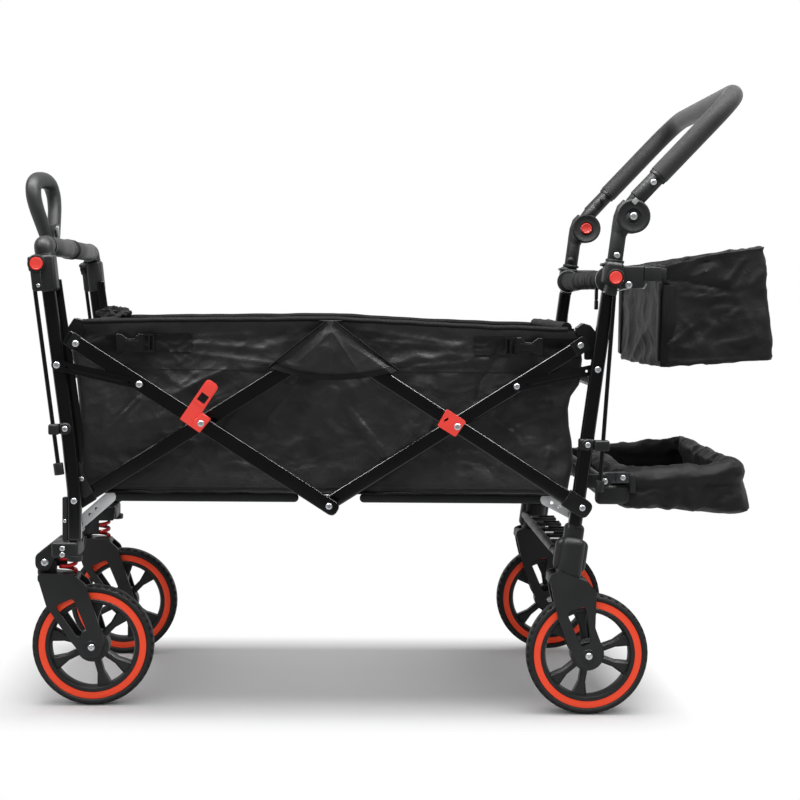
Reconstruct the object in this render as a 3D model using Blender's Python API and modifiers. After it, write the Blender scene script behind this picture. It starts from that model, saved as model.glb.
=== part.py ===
# A folding hand-pulled wagon: two wheeled end frames joined by scissor bars, a fabric tub between
# them, a pull grip in front, and a push handle, a bag and a foot tray behind.
# Metres, +Z up, +X to the rear, left is -Y. The origin is on the ground, at the middle of the length.

import math

import bmesh
import bpy
from mathutils import Matrix, Vector

# Wheels and where the axles stand
WHEEL_RADIUS = 0.100
TYRE_WIDTH = 0.034
FRONT_AXLE_X = -0.496
WHEELBASE = 0.813
FRONT_WHEEL_INSET = 0.059
REAR_WHEEL_INSET = 0.002
AXLE_RADIUS = 0.005
HUB_RADIUS = 0.027
RIM_OPENING = 0.070
TYRE_SEAT = 0.0775

# Clearances: a seat, a pivot's bore, and faces that pass each other
SEAT = 0.0003
BORE_GAP = 0.0005
PASSING = 0.0010

# Tub and floor
TUB_HALF_WIDTH = 0.238
CLOTH = 0.006
TUB_BOTTOM = 0.360
TUB_TOP = 0.632
TUB_FRONT_INSET = 0.010
FLOOR_HEIGHT = 0.348
FLOOR_HINGE_OFFSET = 0.052
FLOOR_LENGTH = 0.320
FLOOR_BOARD = 0.008
FLOOR_HALF_WIDTH = 0.229
RAIL_HEIGHT = 0.014
RAIL_WIDTH = 0.012
RAIL_INSET = 0.0235

# Scissor bars
BAR_LENGTH = 0.487
BAR_ANGLE = math.radians(32.6)
BAR_WIDTH = 0.024
BAR_THICK = 0.0105
BAR_TIP = 0.018
PIVOT_HEIGHT = 0.342
PIVOT_SETBACK = -0.022
PIN_RADIUS = 0.0035
LINK_THICK = 0.003
LINK_WIDTH = 0.017
LINK_REACH = 0.126
LINK_POST_HEIGHT = 0.566

# Posts
POST_WIDTH = 0.018
POST_DEPTH = 0.022
FRONT_LEAN = math.radians(5.5)
REAR_LEAN = math.radians(7.2)
FRONT_POST_SETBACK = -0.0083
REAR_POST_SETBACK = -0.005
POST_TOP = 0.683
FRONT_POST_FOOT = 0.280
REAR_POST_FOOT = 0.296
CROSS_TUBE_RADIUS = 0.009
FRONT_CROSS_TUBE_LOW = 0.302
REAR_CROSS_TUBE_LOW = 0.325
CROSS_TUBE_HIGH = 0.545

# Lock housings, sliding rods and their clips
HOUSING_HEIGHT = 0.058
HOUSING_LENGTH = 0.046
FRONT_OVERHANG = -0.011
REAR_OVERHANG = 0.004
BUTTON_RADIUS = 0.0105
BUTTON_THICK = 0.0060
BUTTON_PROUD = 0.0025
BUTTON_TRAVEL = 0.0025
FRONT_BUTTON_RISE = 0.044
REAR_BUTTON_RISE = 0.032
CROSSBAR_RISE = 0.029
ROD_RADIUS = 0.0035
ROD_STANDOFF = 0.0075
ROD_CAP_RADIUS = 0.007
ROD_CAP_LENGTH = 0.018
FRONT_ROD_LEAN = math.radians(7.46)
REAR_ROD_LEAN = math.radians(3.28)
ROD_TRAVEL = 0.044
LEG_RADIUS = 0.007
CLIP_HEIGHT = 0.020

# Pull frame and its grip
PULL_BAR_RISE = 0.0735
PULL_BAR_RADIUS = 0.0135
PULL_BAR_OFFSET = -0.071
GRIP_PIVOT_OFFSET = -0.101
GRIP_RADIUS = 0.0115
GRIP_HEIGHT = 0.121
GRIP_HALF_WIDTH = 0.046
GRIP_TWIST = math.radians(-18)
GRIP_LEAN = math.radians(-7)
GRIP_NECK = 0.012

# Push handle
SLEEVE_OFFSET = 0.034
SLEEVE_RADIUS = 0.0125
HINGE_OFFSET = 0.0615
HINGE_RISE = 0.131
HINGE_RADIUS = 0.0275
HINGE_THICK = 0.0300
HANDLE_ANGLE = math.radians(50)
HANDLE_LENGTH = 0.267
HANDLE_SLEEVE = 0.078
FOAM_RADIUS = 0.0165
TUBE_RADIUS = 0.0115
HANDLE_BEND = 0.060

# Bag and foot tray behind the rear posts
BAG_ARM_RISE = 0.039
BAG_FRONT = 0.120
BAG_LENGTH = 0.180
BAG_HALF_WIDTH = 0.212
BAG_DEPTH = 0.170
BAG_RISE = 0.065
BAG_WALL = 0.007
TRAY_HINGE_OFFSET = 0.025
TRAY_HINGE_HEIGHT = 0.383
TRAY_FRONT = 0.050
TRAY_LENGTH = 0.226
TRAY_HALF_WIDTH = 0.240
TRAY_BOTTOM = 0.332
TRAY_TOP = 0.398
TRAY_WALL = 0.022
TRAY_FLOOR = 0.010

# Springs between the caster heads and forks
SPRING_RADIUS = 0.0105
SPRING_WIRE = 0.0021
SPRING_TURNS = 3.5

FORK_HALF_WIDTH = 0.027
FORK_WALL = 0.006

FINISHES = {
    "black_steel": ((0.012, 0.012, 0.013), 0.28, 0.6),
    "black_plastic": ((0.020, 0.020, 0.021), 0.48, 0.0),
    "red_plastic": ((0.80, 0.06, 0.05), 0.42, 0.0),
    "red_steel": ((0.55, 0.02, 0.02), 0.30, 0.4),
    "tyre_rubber": ((0.018, 0.018, 0.019), 0.75, 0.0),
    "foam": ((0.030, 0.030, 0.031), 0.90, 0.0),
    "tub_fabric": ((0.027, 0.026, 0.027), 0.85, 0.0),
    "board": ((0.035, 0.035, 0.036), 0.80, 0.0),
}
SIDES = {"left": -1, "right": 1}
WELD = 0.00002

rear_axle_x = FRONT_AXLE_X + WHEELBASE
half_span = BAR_LENGTH * math.cos(BAR_ANGLE)
rise = BAR_LENGTH * math.sin(BAR_ANGLE)
front_pivot_x = FRONT_AXLE_X + PIVOT_SETBACK
middle_x = front_pivot_x + half_span
rear_pivot_x = middle_x + half_span
pivot_top = PIVOT_HEIGHT + rise

# Layers across the width, each a (near, far) pair of distances from the middle plane
inner_bar = (TUB_HALF_WIDTH + 1.5 * PASSING, TUB_HALF_WIDTH + 1.5 * PASSING + BAR_THICK)
rear_link = (inner_bar[1] + PASSING, inner_bar[1] + PASSING + LINK_THICK)
post = (rear_link[1] + PASSING, rear_link[1] + PASSING + POST_WIDTH)
outer_bar = (post[1] + 1.5 * PASSING, post[1] + 1.5 * PASSING + BAR_THICK)
front_link = (outer_bar[1] + PASSING, outer_bar[1] + PASSING + LINK_THICK)
post_y = (post[0] + post[1]) / 2
front_wheel_y = post_y - FRONT_WHEEL_INSET
rear_wheel_y = post_y - REAR_WHEEL_INSET
rod_y = post[1] + ROD_STANDOFF
housing = (post[0] - 0.003, rod_y + ROD_RADIUS + 0.0065)
sleeve_foot = POST_TOP + HOUSING_HEIGHT - 0.003
pull_bar_height = POST_TOP + PULL_BAR_RISE
hinge_height = POST_TOP + HINGE_RISE
bag_arm_height = POST_TOP + BAG_ARM_RISE
bag_top = POST_TOP + BAG_RISE
bag_bottom = bag_top - BAG_DEPTH
leg_foot = POST_TOP + 0.007
leg_top = POST_TOP + 0.077
bore_low, bore_high = POST_TOP - 0.023, POST_TOP + 0.117
tray_arm = (TRAY_HALF_WIDTH - 0.020, TRAY_HALF_WIDTH - 0.008)
pocket_depth = BUTTON_THICK - BUTTON_PROUD + BUTTON_TRAVEL + SEAT


def front_post_x(z):
    start = front_pivot_x + FRONT_POST_SETBACK
    return start - math.tan(FRONT_LEAN) * (z - PIVOT_HEIGHT)


def rear_post_x(z):
    start = rear_pivot_x + REAR_POST_SETBACK
    return start + math.tan(REAR_LEAN) * (z - PIVOT_HEIGHT)


for old in list(bpy.data.objects):
    bpy.data.objects.remove(old)

wagon = bpy.data.collections.new("folding_wagon")
cutters = bpy.data.collections.new("cutters")
bpy.context.scene.collection.children.link(wagon)
bpy.context.scene.collection.children.link(cutters)


# Shapes: each helper returns a new object in the cutters collection

def place(name, data):
    shape = bpy.data.objects.new(name, data)
    shape.display_type = "WIRE"
    shape.hide_render = True
    cutters.objects.link(shape)
    return shape


def from_bmesh(name, bm):
    mesh = bpy.data.meshes.new(name)
    bm.to_mesh(mesh)
    bm.free()
    return place(name, mesh)


def as_mesh(shape):
    """A plain welded mesh of a curve, or of a mesh with its modifiers, with outward faces."""
    bpy.context.view_layer.update()
    seen = shape.evaluated_get(bpy.context.evaluated_depsgraph_get())
    mesh = bpy.data.meshes.new_from_object(seen)
    mesh.transform(shape.matrix_world)
    bm = bmesh.new()
    bm.from_mesh(mesh)
    bmesh.ops.remove_doubles(bm, verts=bm.verts, dist=WELD)
    bmesh.ops.recalc_face_normals(bm, faces=bm.faces)
    bm.to_mesh(mesh)
    bm.free()
    name = shape.name
    bpy.data.objects.remove(shape)
    return place(name, mesh)


def combine(base, tools, operation):
    base = as_mesh(base)
    tools = [as_mesh(tool) for tool in tools]
    for tool in tools:
        modifier = base.modifiers.new(operation.lower(), "BOOLEAN")
        modifier.operation = operation
        modifier.object = tool
    base = as_mesh(base)
    for tool in tools:
        bpy.data.objects.remove(tool)
    return base


def unite(base, *tools):
    return combine(base, tools, "UNION")


def cut(base, *tools):
    return combine(base, tools, "DIFFERENCE")


def soften(shape, width, segments=1):
    """Rounded edges on a mesh or curve shape."""
    shape = as_mesh(shape)
    modifier = shape.modifiers.new("rounded", "BEVEL")
    modifier.width = width
    modifier.segments = segments
    modifier.limit_method = "ANGLE"
    modifier.angle_limit = math.radians(40)
    return as_mesh(shape)


def block(size, centre, lean=0.0):
    """A box whose upright axis leans towards +X by an angle."""
    bm = bmesh.new()
    bmesh.ops.create_cube(bm, size=1.0)
    bmesh.ops.scale(bm, vec=size, verts=bm.verts)
    shape = from_bmesh("block", bm)
    shape.rotation_euler = (0.0, lean, 0.0)
    shape.location = centre
    return shape


def rod(start, end, radius, sides=0, radius_end=None):
    """A straight round bar; a thin one gets fewer sides unless their number is given."""
    start, end = Vector(start), Vector(end)
    sides = sides or (8 if radius < 0.008 else 12)
    bm = bmesh.new()
    bmesh.ops.create_cone(
        bm, cap_ends=True, segments=sides, radius1=radius,
        radius2=radius if radius_end is None else radius_end, depth=(end - start).length)
    shape = from_bmesh("rod", bm)
    shape.rotation_euler = (end - start).to_track_quat("Z", "Y").to_euler()
    shape.location = (start + end) / 2
    return shape


def ball(centre, radius, sides=12):
    bm = bmesh.new()
    bmesh.ops.create_uvsphere(bm, u_segments=sides, v_segments=sides // 2, radius=radius)
    shape = from_bmesh("ball", bm)
    shape.location = centre
    return shape


def poly_curve(name, runs, dimensions):
    data = bpy.data.curves.new(name, "CURVE")
    data.dimensions = dimensions
    data.resolution_u = 1
    data.render_resolution_u = 0
    for points in runs:
        spline = data.splines.new("POLY")
        spline.points.add(len(points) - 1)
        for spot, point in zip(spline.points, points):
            spot.co = (*point, 1.0)
        spline.use_cyclic_u = dimensions == "2D"
    return data


def tube(points, radius, closed=False, resolution=2):
    data = poly_curve("tube", [points], "3D")
    data.bevel_depth = radius
    data.bevel_resolution = resolution
    data.use_fill_caps = not closed
    data.splines[0].use_cyclic_u = closed
    return place("tube", data)


def plate(outline, layer, side, holes=()):
    """A flat outline in X and Z, as thick as its layer, on one side of the wagon."""
    runs = [[(x, z, 0.0) for x, z in run] for run in (outline, *holes)]
    data = poly_curve("plate", runs, "2D")
    data.fill_mode = "BOTH"
    data.extrude = abs(layer[1] - layer[0]) / 2
    shape = place("plate", data)
    shape.rotation_euler = (math.radians(90), 0.0, 0.0)
    shape.location = (0.0, side * (layer[0] + layer[1]) / 2, 0.0)
    return shape


def turned(profile, centre, steps=28):
    """A profile of (radius, across) pairs turned about a wheel's axle, which lies along Y."""
    bm = bmesh.new()
    spots = [bm.verts.new((radius, across, 0.0)) for radius, across in profile]
    for one, two in zip(spots, spots[1:] + spots[:1]):
        bm.edges.new((one, two))
    shape = from_bmesh("turned", bm)
    modifier = shape.modifiers.new("turn", "SCREW")
    modifier.axis = "Y"
    modifier.steps = steps
    modifier.render_steps = steps
    modifier.use_merge_vertices = True
    modifier.merge_threshold = 0.00005
    shape.location = centre
    return shape


# Outlines

def circle(centre, radius, sides=8, start=0.0):
    steps = [start + 2 * math.pi * step / sides for step in range(sides)]
    return [(centre[0] + radius * math.cos(a), centre[1] + radius * math.sin(a)) for a in steps]


def capsule(start, end, radius, sides=5):
    """The outline of a bar with round ends, a radius beyond each of its two points."""
    along = math.atan2(end[1] - start[1], end[0] - start[0])
    points = []
    for centre, first in ((end, along - math.pi / 2), (start, along + math.pi / 2)):
        for step in range(sides + 1):
            angle = first + math.pi * step / sides
            points.append((centre[0] + radius * math.cos(angle),
                           centre[1] + radius * math.sin(angle)))
    return points


def filleted(corners, sides=2):
    """An outline through (x, z, radius) corners, each rounded by an arc of its radius."""
    points = []
    count = len(corners)
    for index, (x, z, radius) in enumerate(corners):
        here = Vector((x, z))
        before = Vector(corners[index - 1][:2]) - here
        after = Vector(corners[(index + 1) % count][:2]) - here
        if radius <= 0:
            points.append((x, z))
            continue
        half = before.angle(after) / 2
        reach = min(radius / math.tan(half), 0.45 * before.length, 0.45 * after.length)
        start, end = here + before.normalized() * reach, here + after.normalized() * reach
        for step in range(sides + 1):
            share = step / sides
            curve = start * (1 - share) ** 2 + here * 2 * share * (1 - share) + end * share ** 2
            points.append((curve.x, curve.y))
    return points


def rounded_path(corners, radius, sides=5):
    """A path through 3-D corners, with each inner corner rounded."""
    corners = [Vector(corner) for corner in corners]
    points = [corners[0]]
    for before, here, after in zip(corners, corners[1:], corners[2:]):
        back, onward = (before - here), (after - here)
        reach = min(radius, 0.48 * back.length, 0.48 * onward.length)
        start, end = here + back.normalized() * reach, here + onward.normalized() * reach
        for step in range(sides + 1):
            share = step / sides
            points.append(start * (1 - share) ** 2 + here * 2 * share * (1 - share)
                          + end * share ** 2)
    points.append(corners[-1])
    return points


# Finished parts and their joints

def finish(shape, name, finish_name, smooth=35):
    shape = as_mesh(shape)
    shape.name = name
    shape.data.name = name
    cutters.objects.unlink(shape)
    wagon.objects.link(shape)
    shape.display_type = "TEXTURED"
    shape.hide_render = False
    material = bpy.data.materials.get(finish_name) or bpy.data.materials.new(finish_name)
    colour, roughness, metallic = FINISHES[finish_name]
    material.use_nodes = True
    shader = material.node_tree.nodes["Principled BSDF"]
    shader.inputs["Base Color"].default_value = (*colour, 1.0)
    shader.inputs["Roughness"].default_value = roughness
    shader.inputs["Metallic"].default_value = metallic
    shape.data.materials.clear()
    shape.data.materials.append(material)
    shape.data.shade_smooth()
    shape.data.set_sharp_from_angle(angle=math.radians(smooth))
    return shape


def hang(joint, place_at, parts, parent=None):
    """An empty on a joint's axis that carries the parts that move with it."""
    pivot = bpy.data.objects.new(joint, None)
    wagon.objects.link(pivot)
    pivot.location = place_at
    pivot.empty_display_size = 0.03
    bpy.context.view_layer.update()
    if parent is not None:
        pivot.parent = parent
        pivot.matrix_parent_inverse = parent.matrix_world.inverted()
        bpy.context.view_layer.update()
    for part in parts:
        part.parent = pivot
        part.matrix_parent_inverse = pivot.matrix_world.inverted()
    return pivot


def across(x, z, side, near, far, radius, sides=0):
    """A pin along Y between two distances from the middle plane."""
    return rod((x, side * near, z), (x, side * far, z), radius, sides)


# Wheels

def make_tyre():
    half = TYRE_WIDTH / 2
    shoulder = TYRE_SEAT + 0.6 * (WHEEL_RADIUS - TYRE_SEAT)
    profile = [
        (TYRE_SEAT, -0.76 * half), (TYRE_SEAT, 0.76 * half), (shoulder, half),
        (WHEEL_RADIUS - 0.0025, 0.76 * half), (WHEEL_RADIUS, 0.35 * half),
        (WHEEL_RADIUS, -0.35 * half), (WHEEL_RADIUS - 0.0025, -0.76 * half), (shoulder, -half),
    ]
    return turned(profile, (0, 0, 0))


def spoke_outline(angle):
    """One spoke: parallel near the hub, then wider from a kink out to the rim."""
    root, knee, tip = HUB_RADIUS - 0.006, 0.046, RIM_OPENING + 0.003
    narrow, wide = 0.0052, 0.0130
    local = [(root, -narrow), (knee, -narrow), (tip, -wide),
             (tip, wide), (knee, narrow), (root, narrow)]
    turn = Matrix.Rotation(angle, 2)
    return [tuple(turn @ Vector(point)) for point in local]


def make_rim(phase):
    ring = turned([
        (RIM_OPENING, -0.0150), (TYRE_SEAT - SEAT, -0.0150),
        (TYRE_SEAT - SEAT, 0.0150), (RIM_OPENING, 0.0150),
    ], (0, 0, 0))
    hub = turned([
        (AXLE_RADIUS + BORE_GAP, -0.0195), (HUB_RADIUS - 0.008, -0.0195),
        (HUB_RADIUS, -0.0130), (HUB_RADIUS, 0.0130), (HUB_RADIUS - 0.008, 0.0195),
        (AXLE_RADIUS + BORE_GAP, 0.0195),
    ], (0, 0, 0), steps=12)
    spokes = []
    for third in range(3):
        for offset in (20.5, -20.5):
            angle = phase + math.radians(120 * third + offset)
            spokes.append(plate(spoke_outline(angle), (-0.0095, 0.0095), 1))
    return unite(ring, hub, *spokes)


def wheel(side_name, end_name, tyre_mesh, rim_mesh, centre):
    made = []
    for kind, mesh, finish_name in (("tyre", tyre_mesh, "tyre_rubber"),
                                    ("rim", rim_mesh, "black_plastic")):
        shape = place(f"{end_name}_{kind}_{side_name}", mesh.copy())
        shape.location = centre
        made.append(finish(shape, f"{end_name}_{kind}_{side_name}", finish_name))
    return made


# Frame tubes and bars

def leaning_post(x_at, foot, side, lean):
    """A rounded square tube, cut level at its top and foot."""
    middle = (foot + POST_TOP) / 2
    spare = 0.010
    tube_block = block((POST_DEPTH, POST_WIDTH, POST_TOP - foot + 2 * spare),
                       (x_at(middle), side * post_y, middle), lean)
    above = block((0.1, 0.1, 0.1), (x_at(POST_TOP), side * post_y, POST_TOP + 0.05))
    below = block((0.1, 0.1, 0.1), (x_at(foot), side * post_y, foot - 0.05))
    return cut(soften(tube_block, 0.004), above, below)


def brace_plate(x_at, foot, hinge_x, side):
    """The bright strap that runs from the lower cross tube up to the floor's hinge."""
    layer = (FLOOR_HALF_WIDTH - 0.0015, FLOOR_HALF_WIDTH + 0.0015)
    strap = plate(capsule((x_at(foot), foot), (hinge_x, FLOOR_HEIGHT), 0.0085), layer, side)
    rail = FLOOR_HALF_WIDTH - RAIL_INSET
    return unite(strap, across(hinge_x, FLOOR_HEIGHT, side, rail, FLOOR_HALF_WIDTH, PIN_RADIUS))


def clip(x_post, x_rod, z, side):
    """The guide that wraps a post and holds the sliding rod beside it."""
    towards = 1 if x_rod > x_post else -1
    inner = x_post - towards * (POST_DEPTH / 2 + 0.002)
    outer = x_rod + towards * (ROD_RADIUS + 0.005)
    band = (post[0] - 0.0008, rod_y + ROD_RADIUS + 0.003)
    return block((abs(outer - inner), band[1] - band[0], CLIP_HEIGHT),
                 ((inner + outer) / 2, side * (band[0] + band[1]) / 2, z))


def rod_line(start_x, start_z, lean):
    """X of a sliding rod at a height."""
    def x_at(z):
        return start_x + math.tan(lean) * (z - start_z)
    return x_at


front_rod_x = rod_line(FRONT_AXLE_X - 0.084, POST_TOP - 0.014, -FRONT_ROD_LEAN)
rear_rod_x = rod_line(rear_axle_x + 0.0315, POST_TOP - 0.0042, REAR_ROD_LEAN)
front_clip_z = 0.462
rear_clip_z = 0.444


def sliding_rod(x_at, low, high, side, radius=ROD_RADIUS, y=rod_y):
    return rod((x_at(low), side * y, low), (x_at(high), side * y, high), radius)


def front_frame():
    parts = []
    for side in SIDES.values():
        parts.append(leaning_post(front_post_x, FRONT_POST_FOOT, side, -FRONT_LEAN))
        parts.append(brace_plate(front_post_x, FRONT_CROSS_TUBE_LOW,
                                 front_pivot_x + FLOOR_HINGE_OFFSET, side))
        x_post = front_post_x(front_clip_z)
        body = clip(x_post, front_rod_x(front_clip_z), front_clip_z, side)
        bore = sliding_rod(front_rod_x, front_clip_z - 0.03, front_clip_z + 0.03, side,
                           ROD_RADIUS + BORE_GAP)
        parts.append(cut(body, bore))
        parts.append(across(front_pivot_x, PIVOT_HEIGHT, side, inner_bar[0] - 0.0007,
                            post_y, PIN_RADIUS))
        link_x = front_post_x(LINK_POST_HEIGHT)
        parts.append(across(link_x, LINK_POST_HEIGHT, side, post_y, front_link[1] + 0.002,
                            PIN_RADIUS))
        foot_x = front_post_x(FRONT_POST_FOOT)
        parts.append(rod((foot_x, side * post_y, FRONT_POST_FOOT + 0.004),
                         (foot_x, side * post_y, FRONT_POST_FOOT - 0.022), 0.006))
        parts.append(block((0.010, 0.012, 0.056),
                           (front_post_x(0.312) - POST_DEPTH / 2 - 0.0035,
                            side * post_y, 0.312), -FRONT_LEAN))
    for z in (FRONT_CROSS_TUBE_LOW, CROSS_TUBE_HIGH):
        parts.append(rod((front_post_x(z), -post_y, z), (front_post_x(z), post_y, z),
                         CROSS_TUBE_RADIUS))
    return finish(unite(*parts), "front_frame_tube", "black_steel")


def rear_frame():
    parts = []
    for side in SIDES.values():
        parts.append(leaning_post(rear_post_x, REAR_POST_FOOT, side, REAR_LEAN))
        parts.append(brace_plate(rear_post_x, REAR_CROSS_TUBE_LOW,
                                 rear_pivot_x - FLOOR_HINGE_OFFSET, side))
        x_post = rear_post_x(rear_clip_z)
        body = clip(x_post, rear_rod_x(rear_clip_z), rear_clip_z, side)
        bore = sliding_rod(rear_rod_x, rear_clip_z - 0.03, rear_clip_z + 0.03, side,
                           ROD_RADIUS + BORE_GAP)
        parts.append(cut(body, bore))
        parts.append(across(rear_pivot_x, PIVOT_HEIGHT, side, post_y, outer_bar[1] + 0.0012,
                            PIN_RADIUS))
        link_x = rear_post_x(LINK_POST_HEIGHT)
        parts.append(across(link_x, LINK_POST_HEIGHT, side, rear_link[0] - 0.0005, post_y,
                            PIN_RADIUS))
        tray_pin = (rear_axle_x + TRAY_HINGE_OFFSET, TRAY_HINGE_HEIGHT)
        parts.append(plate(capsule((rear_post_x(TRAY_HINGE_HEIGHT), TRAY_HINGE_HEIGHT),
                                   tray_pin, 0.0100), (post[0] + 0.001, post[0] + 0.007), side))
        parts.append(across(*tray_pin, side, tray_arm[0] - 0.001, post[0] + 0.004, PIN_RADIUS))
        parts.append(across(*tray_pin, side, tray_arm[1] + SEAT, post[0] + 0.003,
                            PIN_RADIUS + 0.003))
    for z in (REAR_CROSS_TUBE_LOW, CROSS_TUBE_HIGH):
        parts.append(rod((rear_post_x(z), -post_y, z), (rear_post_x(z), post_y, z),
                         CROSS_TUBE_RADIUS))
    return finish(unite(*parts), "rear_frame_tube", "black_steel")


# Bar ends as (x, z): low and high pivots at the front, middle and rear
low_front = (front_pivot_x, PIVOT_HEIGHT)
low_middle = (middle_x, PIVOT_HEIGHT)
low_rear = (rear_pivot_x, PIVOT_HEIGHT)
high_front = (front_pivot_x, pivot_top)
high_middle = (middle_x, pivot_top)
high_rear = (rear_pivot_x, pivot_top)
cross_front = ((front_pivot_x + middle_x) / 2, PIVOT_HEIGHT + rise / 2)
cross_rear = ((rear_pivot_x + middle_x) / 2, PIVOT_HEIGHT + rise / 2)


def scissor_bar(name, side, start, end, layer, bored, pinned, end_block=None):
    """A flat bar with a round tip past each pivot, bored for other bars' pins or carrying its own."""
    run = (Vector(end) - Vector(start)).normalized() * (BAR_TIP - BAR_WIDTH / 2)
    outline = capsule(tuple(Vector(start) - run), tuple(Vector(end) + run), BAR_WIDTH / 2)
    holes = [circle(spot, PIN_RADIUS + BORE_GAP) for spot in bored]
    body = plate(outline, layer, side, holes)
    added = []
    for spot in pinned:
        added.append(across(*spot, side, inner_bar[0] - 0.0007, outer_bar[0] + 0.004, PIN_RADIUS))
        added.append(across(*spot, side, inner_bar[1] + PASSING / 2, outer_bar[0] + 0.002,
                            PIN_RADIUS + 0.003))
    if end_block:
        added.append(end_block)
    if added:
        body = unite(body, *added)
    return finish(body, name, "black_steel")


def socket_end(side):
    """The moulded socket that caps a rear bar's lower end."""
    direction = (Vector(high_middle) - Vector(low_rear)).normalized()
    top = Vector(low_rear) + direction * 0.034
    shell = plate(capsule(low_rear, tuple(top), BAR_WIDTH / 2 + 0.0030),
                  (outer_bar[0] - 0.0007, outer_bar[1] + 0.0007), side)
    return cut(shell, across(*low_rear, side, outer_bar[0] - 0.01, outer_bar[1] + 0.01,
                             PIN_RADIUS + BORE_GAP))


def scissor_bars():
    made = {}
    for side_name, side in SIDES.items():
        made["a", side_name] = scissor_bar(
            f"bar_a_{side_name}", side, high_front, low_middle, outer_bar, (),
            (cross_front, low_middle))
        made["b", side_name] = scissor_bar(
            f"bar_b_{side_name}", side, low_front, high_middle, inner_bar,
            (low_front, cross_front, high_middle), ())
        made["c", side_name] = scissor_bar(
            f"bar_c_{side_name}", side, low_rear, high_middle, outer_bar, (low_rear,),
            (cross_rear, high_middle), socket_end(side))
        made["d", side_name] = scissor_bar(
            f"bar_d_{side_name}", side, low_middle, high_rear, inner_bar,
            (low_middle, cross_rear), ())
    return made


def link_bar(name, side, start, end, layer, finish_name="black_steel"):
    """A pressed strip with a raised rib, bored where it turns on the post's pin."""
    strip = plate(capsule(start, end, LINK_WIDTH / 2), layer, side,
                  [circle(start, PIN_RADIUS + BORE_GAP)])
    run = (Vector(end) - Vector(start)).normalized()
    rib_ends = (tuple(Vector(start) + run * 0.020), tuple(Vector(end) - run * 0.020))
    groove = layer[1] if layer == front_link else layer[0]
    rib = plate(capsule(*rib_ends, 0.0030), (groove - 0.0008, groove + 0.0008), side)
    return finish(cut(strip, rib), name, finish_name)


def links():
    made = {}
    share = LINK_REACH / BAR_LENGTH
    front_end = tuple(Vector(high_front).lerp(Vector(low_middle), share))
    rear_end = tuple(Vector(high_rear).lerp(Vector(low_middle), share))
    front_start = (front_post_x(LINK_POST_HEIGHT), LINK_POST_HEIGHT)
    rear_start = (rear_post_x(LINK_POST_HEIGHT), LINK_POST_HEIGHT)
    for side_name, side in SIDES.items():
        made["front", side_name] = link_bar(f"front_link_{side_name}", side, front_start,
                                            front_end, front_link)
        made["rear", side_name] = link_bar(f"rear_link_{side_name}", side, rear_start,
                                           rear_end, rear_link)
    return made


def cross_blocks():
    """Red mouldings on the outer face of each crossing: a latch lever in front, a plain clip behind."""
    made = {}
    face = outer_bar[1] + SEAT
    for side_name, side in SIDES.items():
        x, z = cross_front
        ahead = Vector((math.cos(math.radians(52)), math.sin(math.radians(52))))
        base = plate(capsule((x - 0.015, z - 0.006), (x + 0.012, z + 0.010), 0.0165),
                     (face, face + 0.012), side)
        tip = Vector((x, z)) + ahead * 0.062
        root = Vector((x, z)) + ahead * 0.004
        lever = plate(capsule(tuple(root), tuple(tip), 0.0115),
                      (face + 0.0020, face + 0.015), side)
        window = Vector((x, z)) + ahead * 0.046
        eye = plate(circle(tuple(window), 0.0085, 4, math.radians(52 + 45)),
                    (face - 0.002, face + 0.02), side)
        latch = cut(unite(base, lever), eye)
        made["latch", side_name] = finish(latch, f"latch_{side_name}", "red_plastic")
        x, z = cross_rear
        along = BAR_ANGLE
        corners = []
        for angle, radius in ((35, 0.026), (145, 0.026), (215, 0.026), (325, 0.026)):
            turn = along + math.radians(angle)
            corners.append((x + radius * math.cos(turn), z + radius * math.sin(turn), 0.005))
        clip_block = soften(plate(filleted(corners), (face, face + 0.013), side), 0.0015, 1)
        made["clip", side_name] = finish(clip_block, f"cross_clip_{side_name}", "red_plastic")
    return made


# Tub panels and floor

def tub_panels():
    made = {}
    low, high = front_pivot_x + TUB_FRONT_INSET - 0.006, rear_pivot_x - 0.018
    middle_z, height = (TUB_BOTTOM + TUB_TOP) / 2, TUB_TOP - TUB_BOTTOM
    for side_name, side in SIDES.items():
        panel = block((high - low, CLOTH, height),
                      ((low + high) / 2, side * (TUB_HALF_WIDTH - CLOTH / 2), middle_z))
        made["side", side_name] = finish(panel, f"side_panel_{side_name}", "tub_fabric")
    half = TUB_HALF_WIDTH - CLOTH - 0.0005
    for end, x in (("front", low + CLOTH / 2), ("rear", high - CLOTH / 2)):
        panel = block((CLOTH, 2 * half, height), (x, 0.0, middle_z))
        made[end] = finish(panel, f"{end}_panel", "tub_fabric")
    return made


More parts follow.
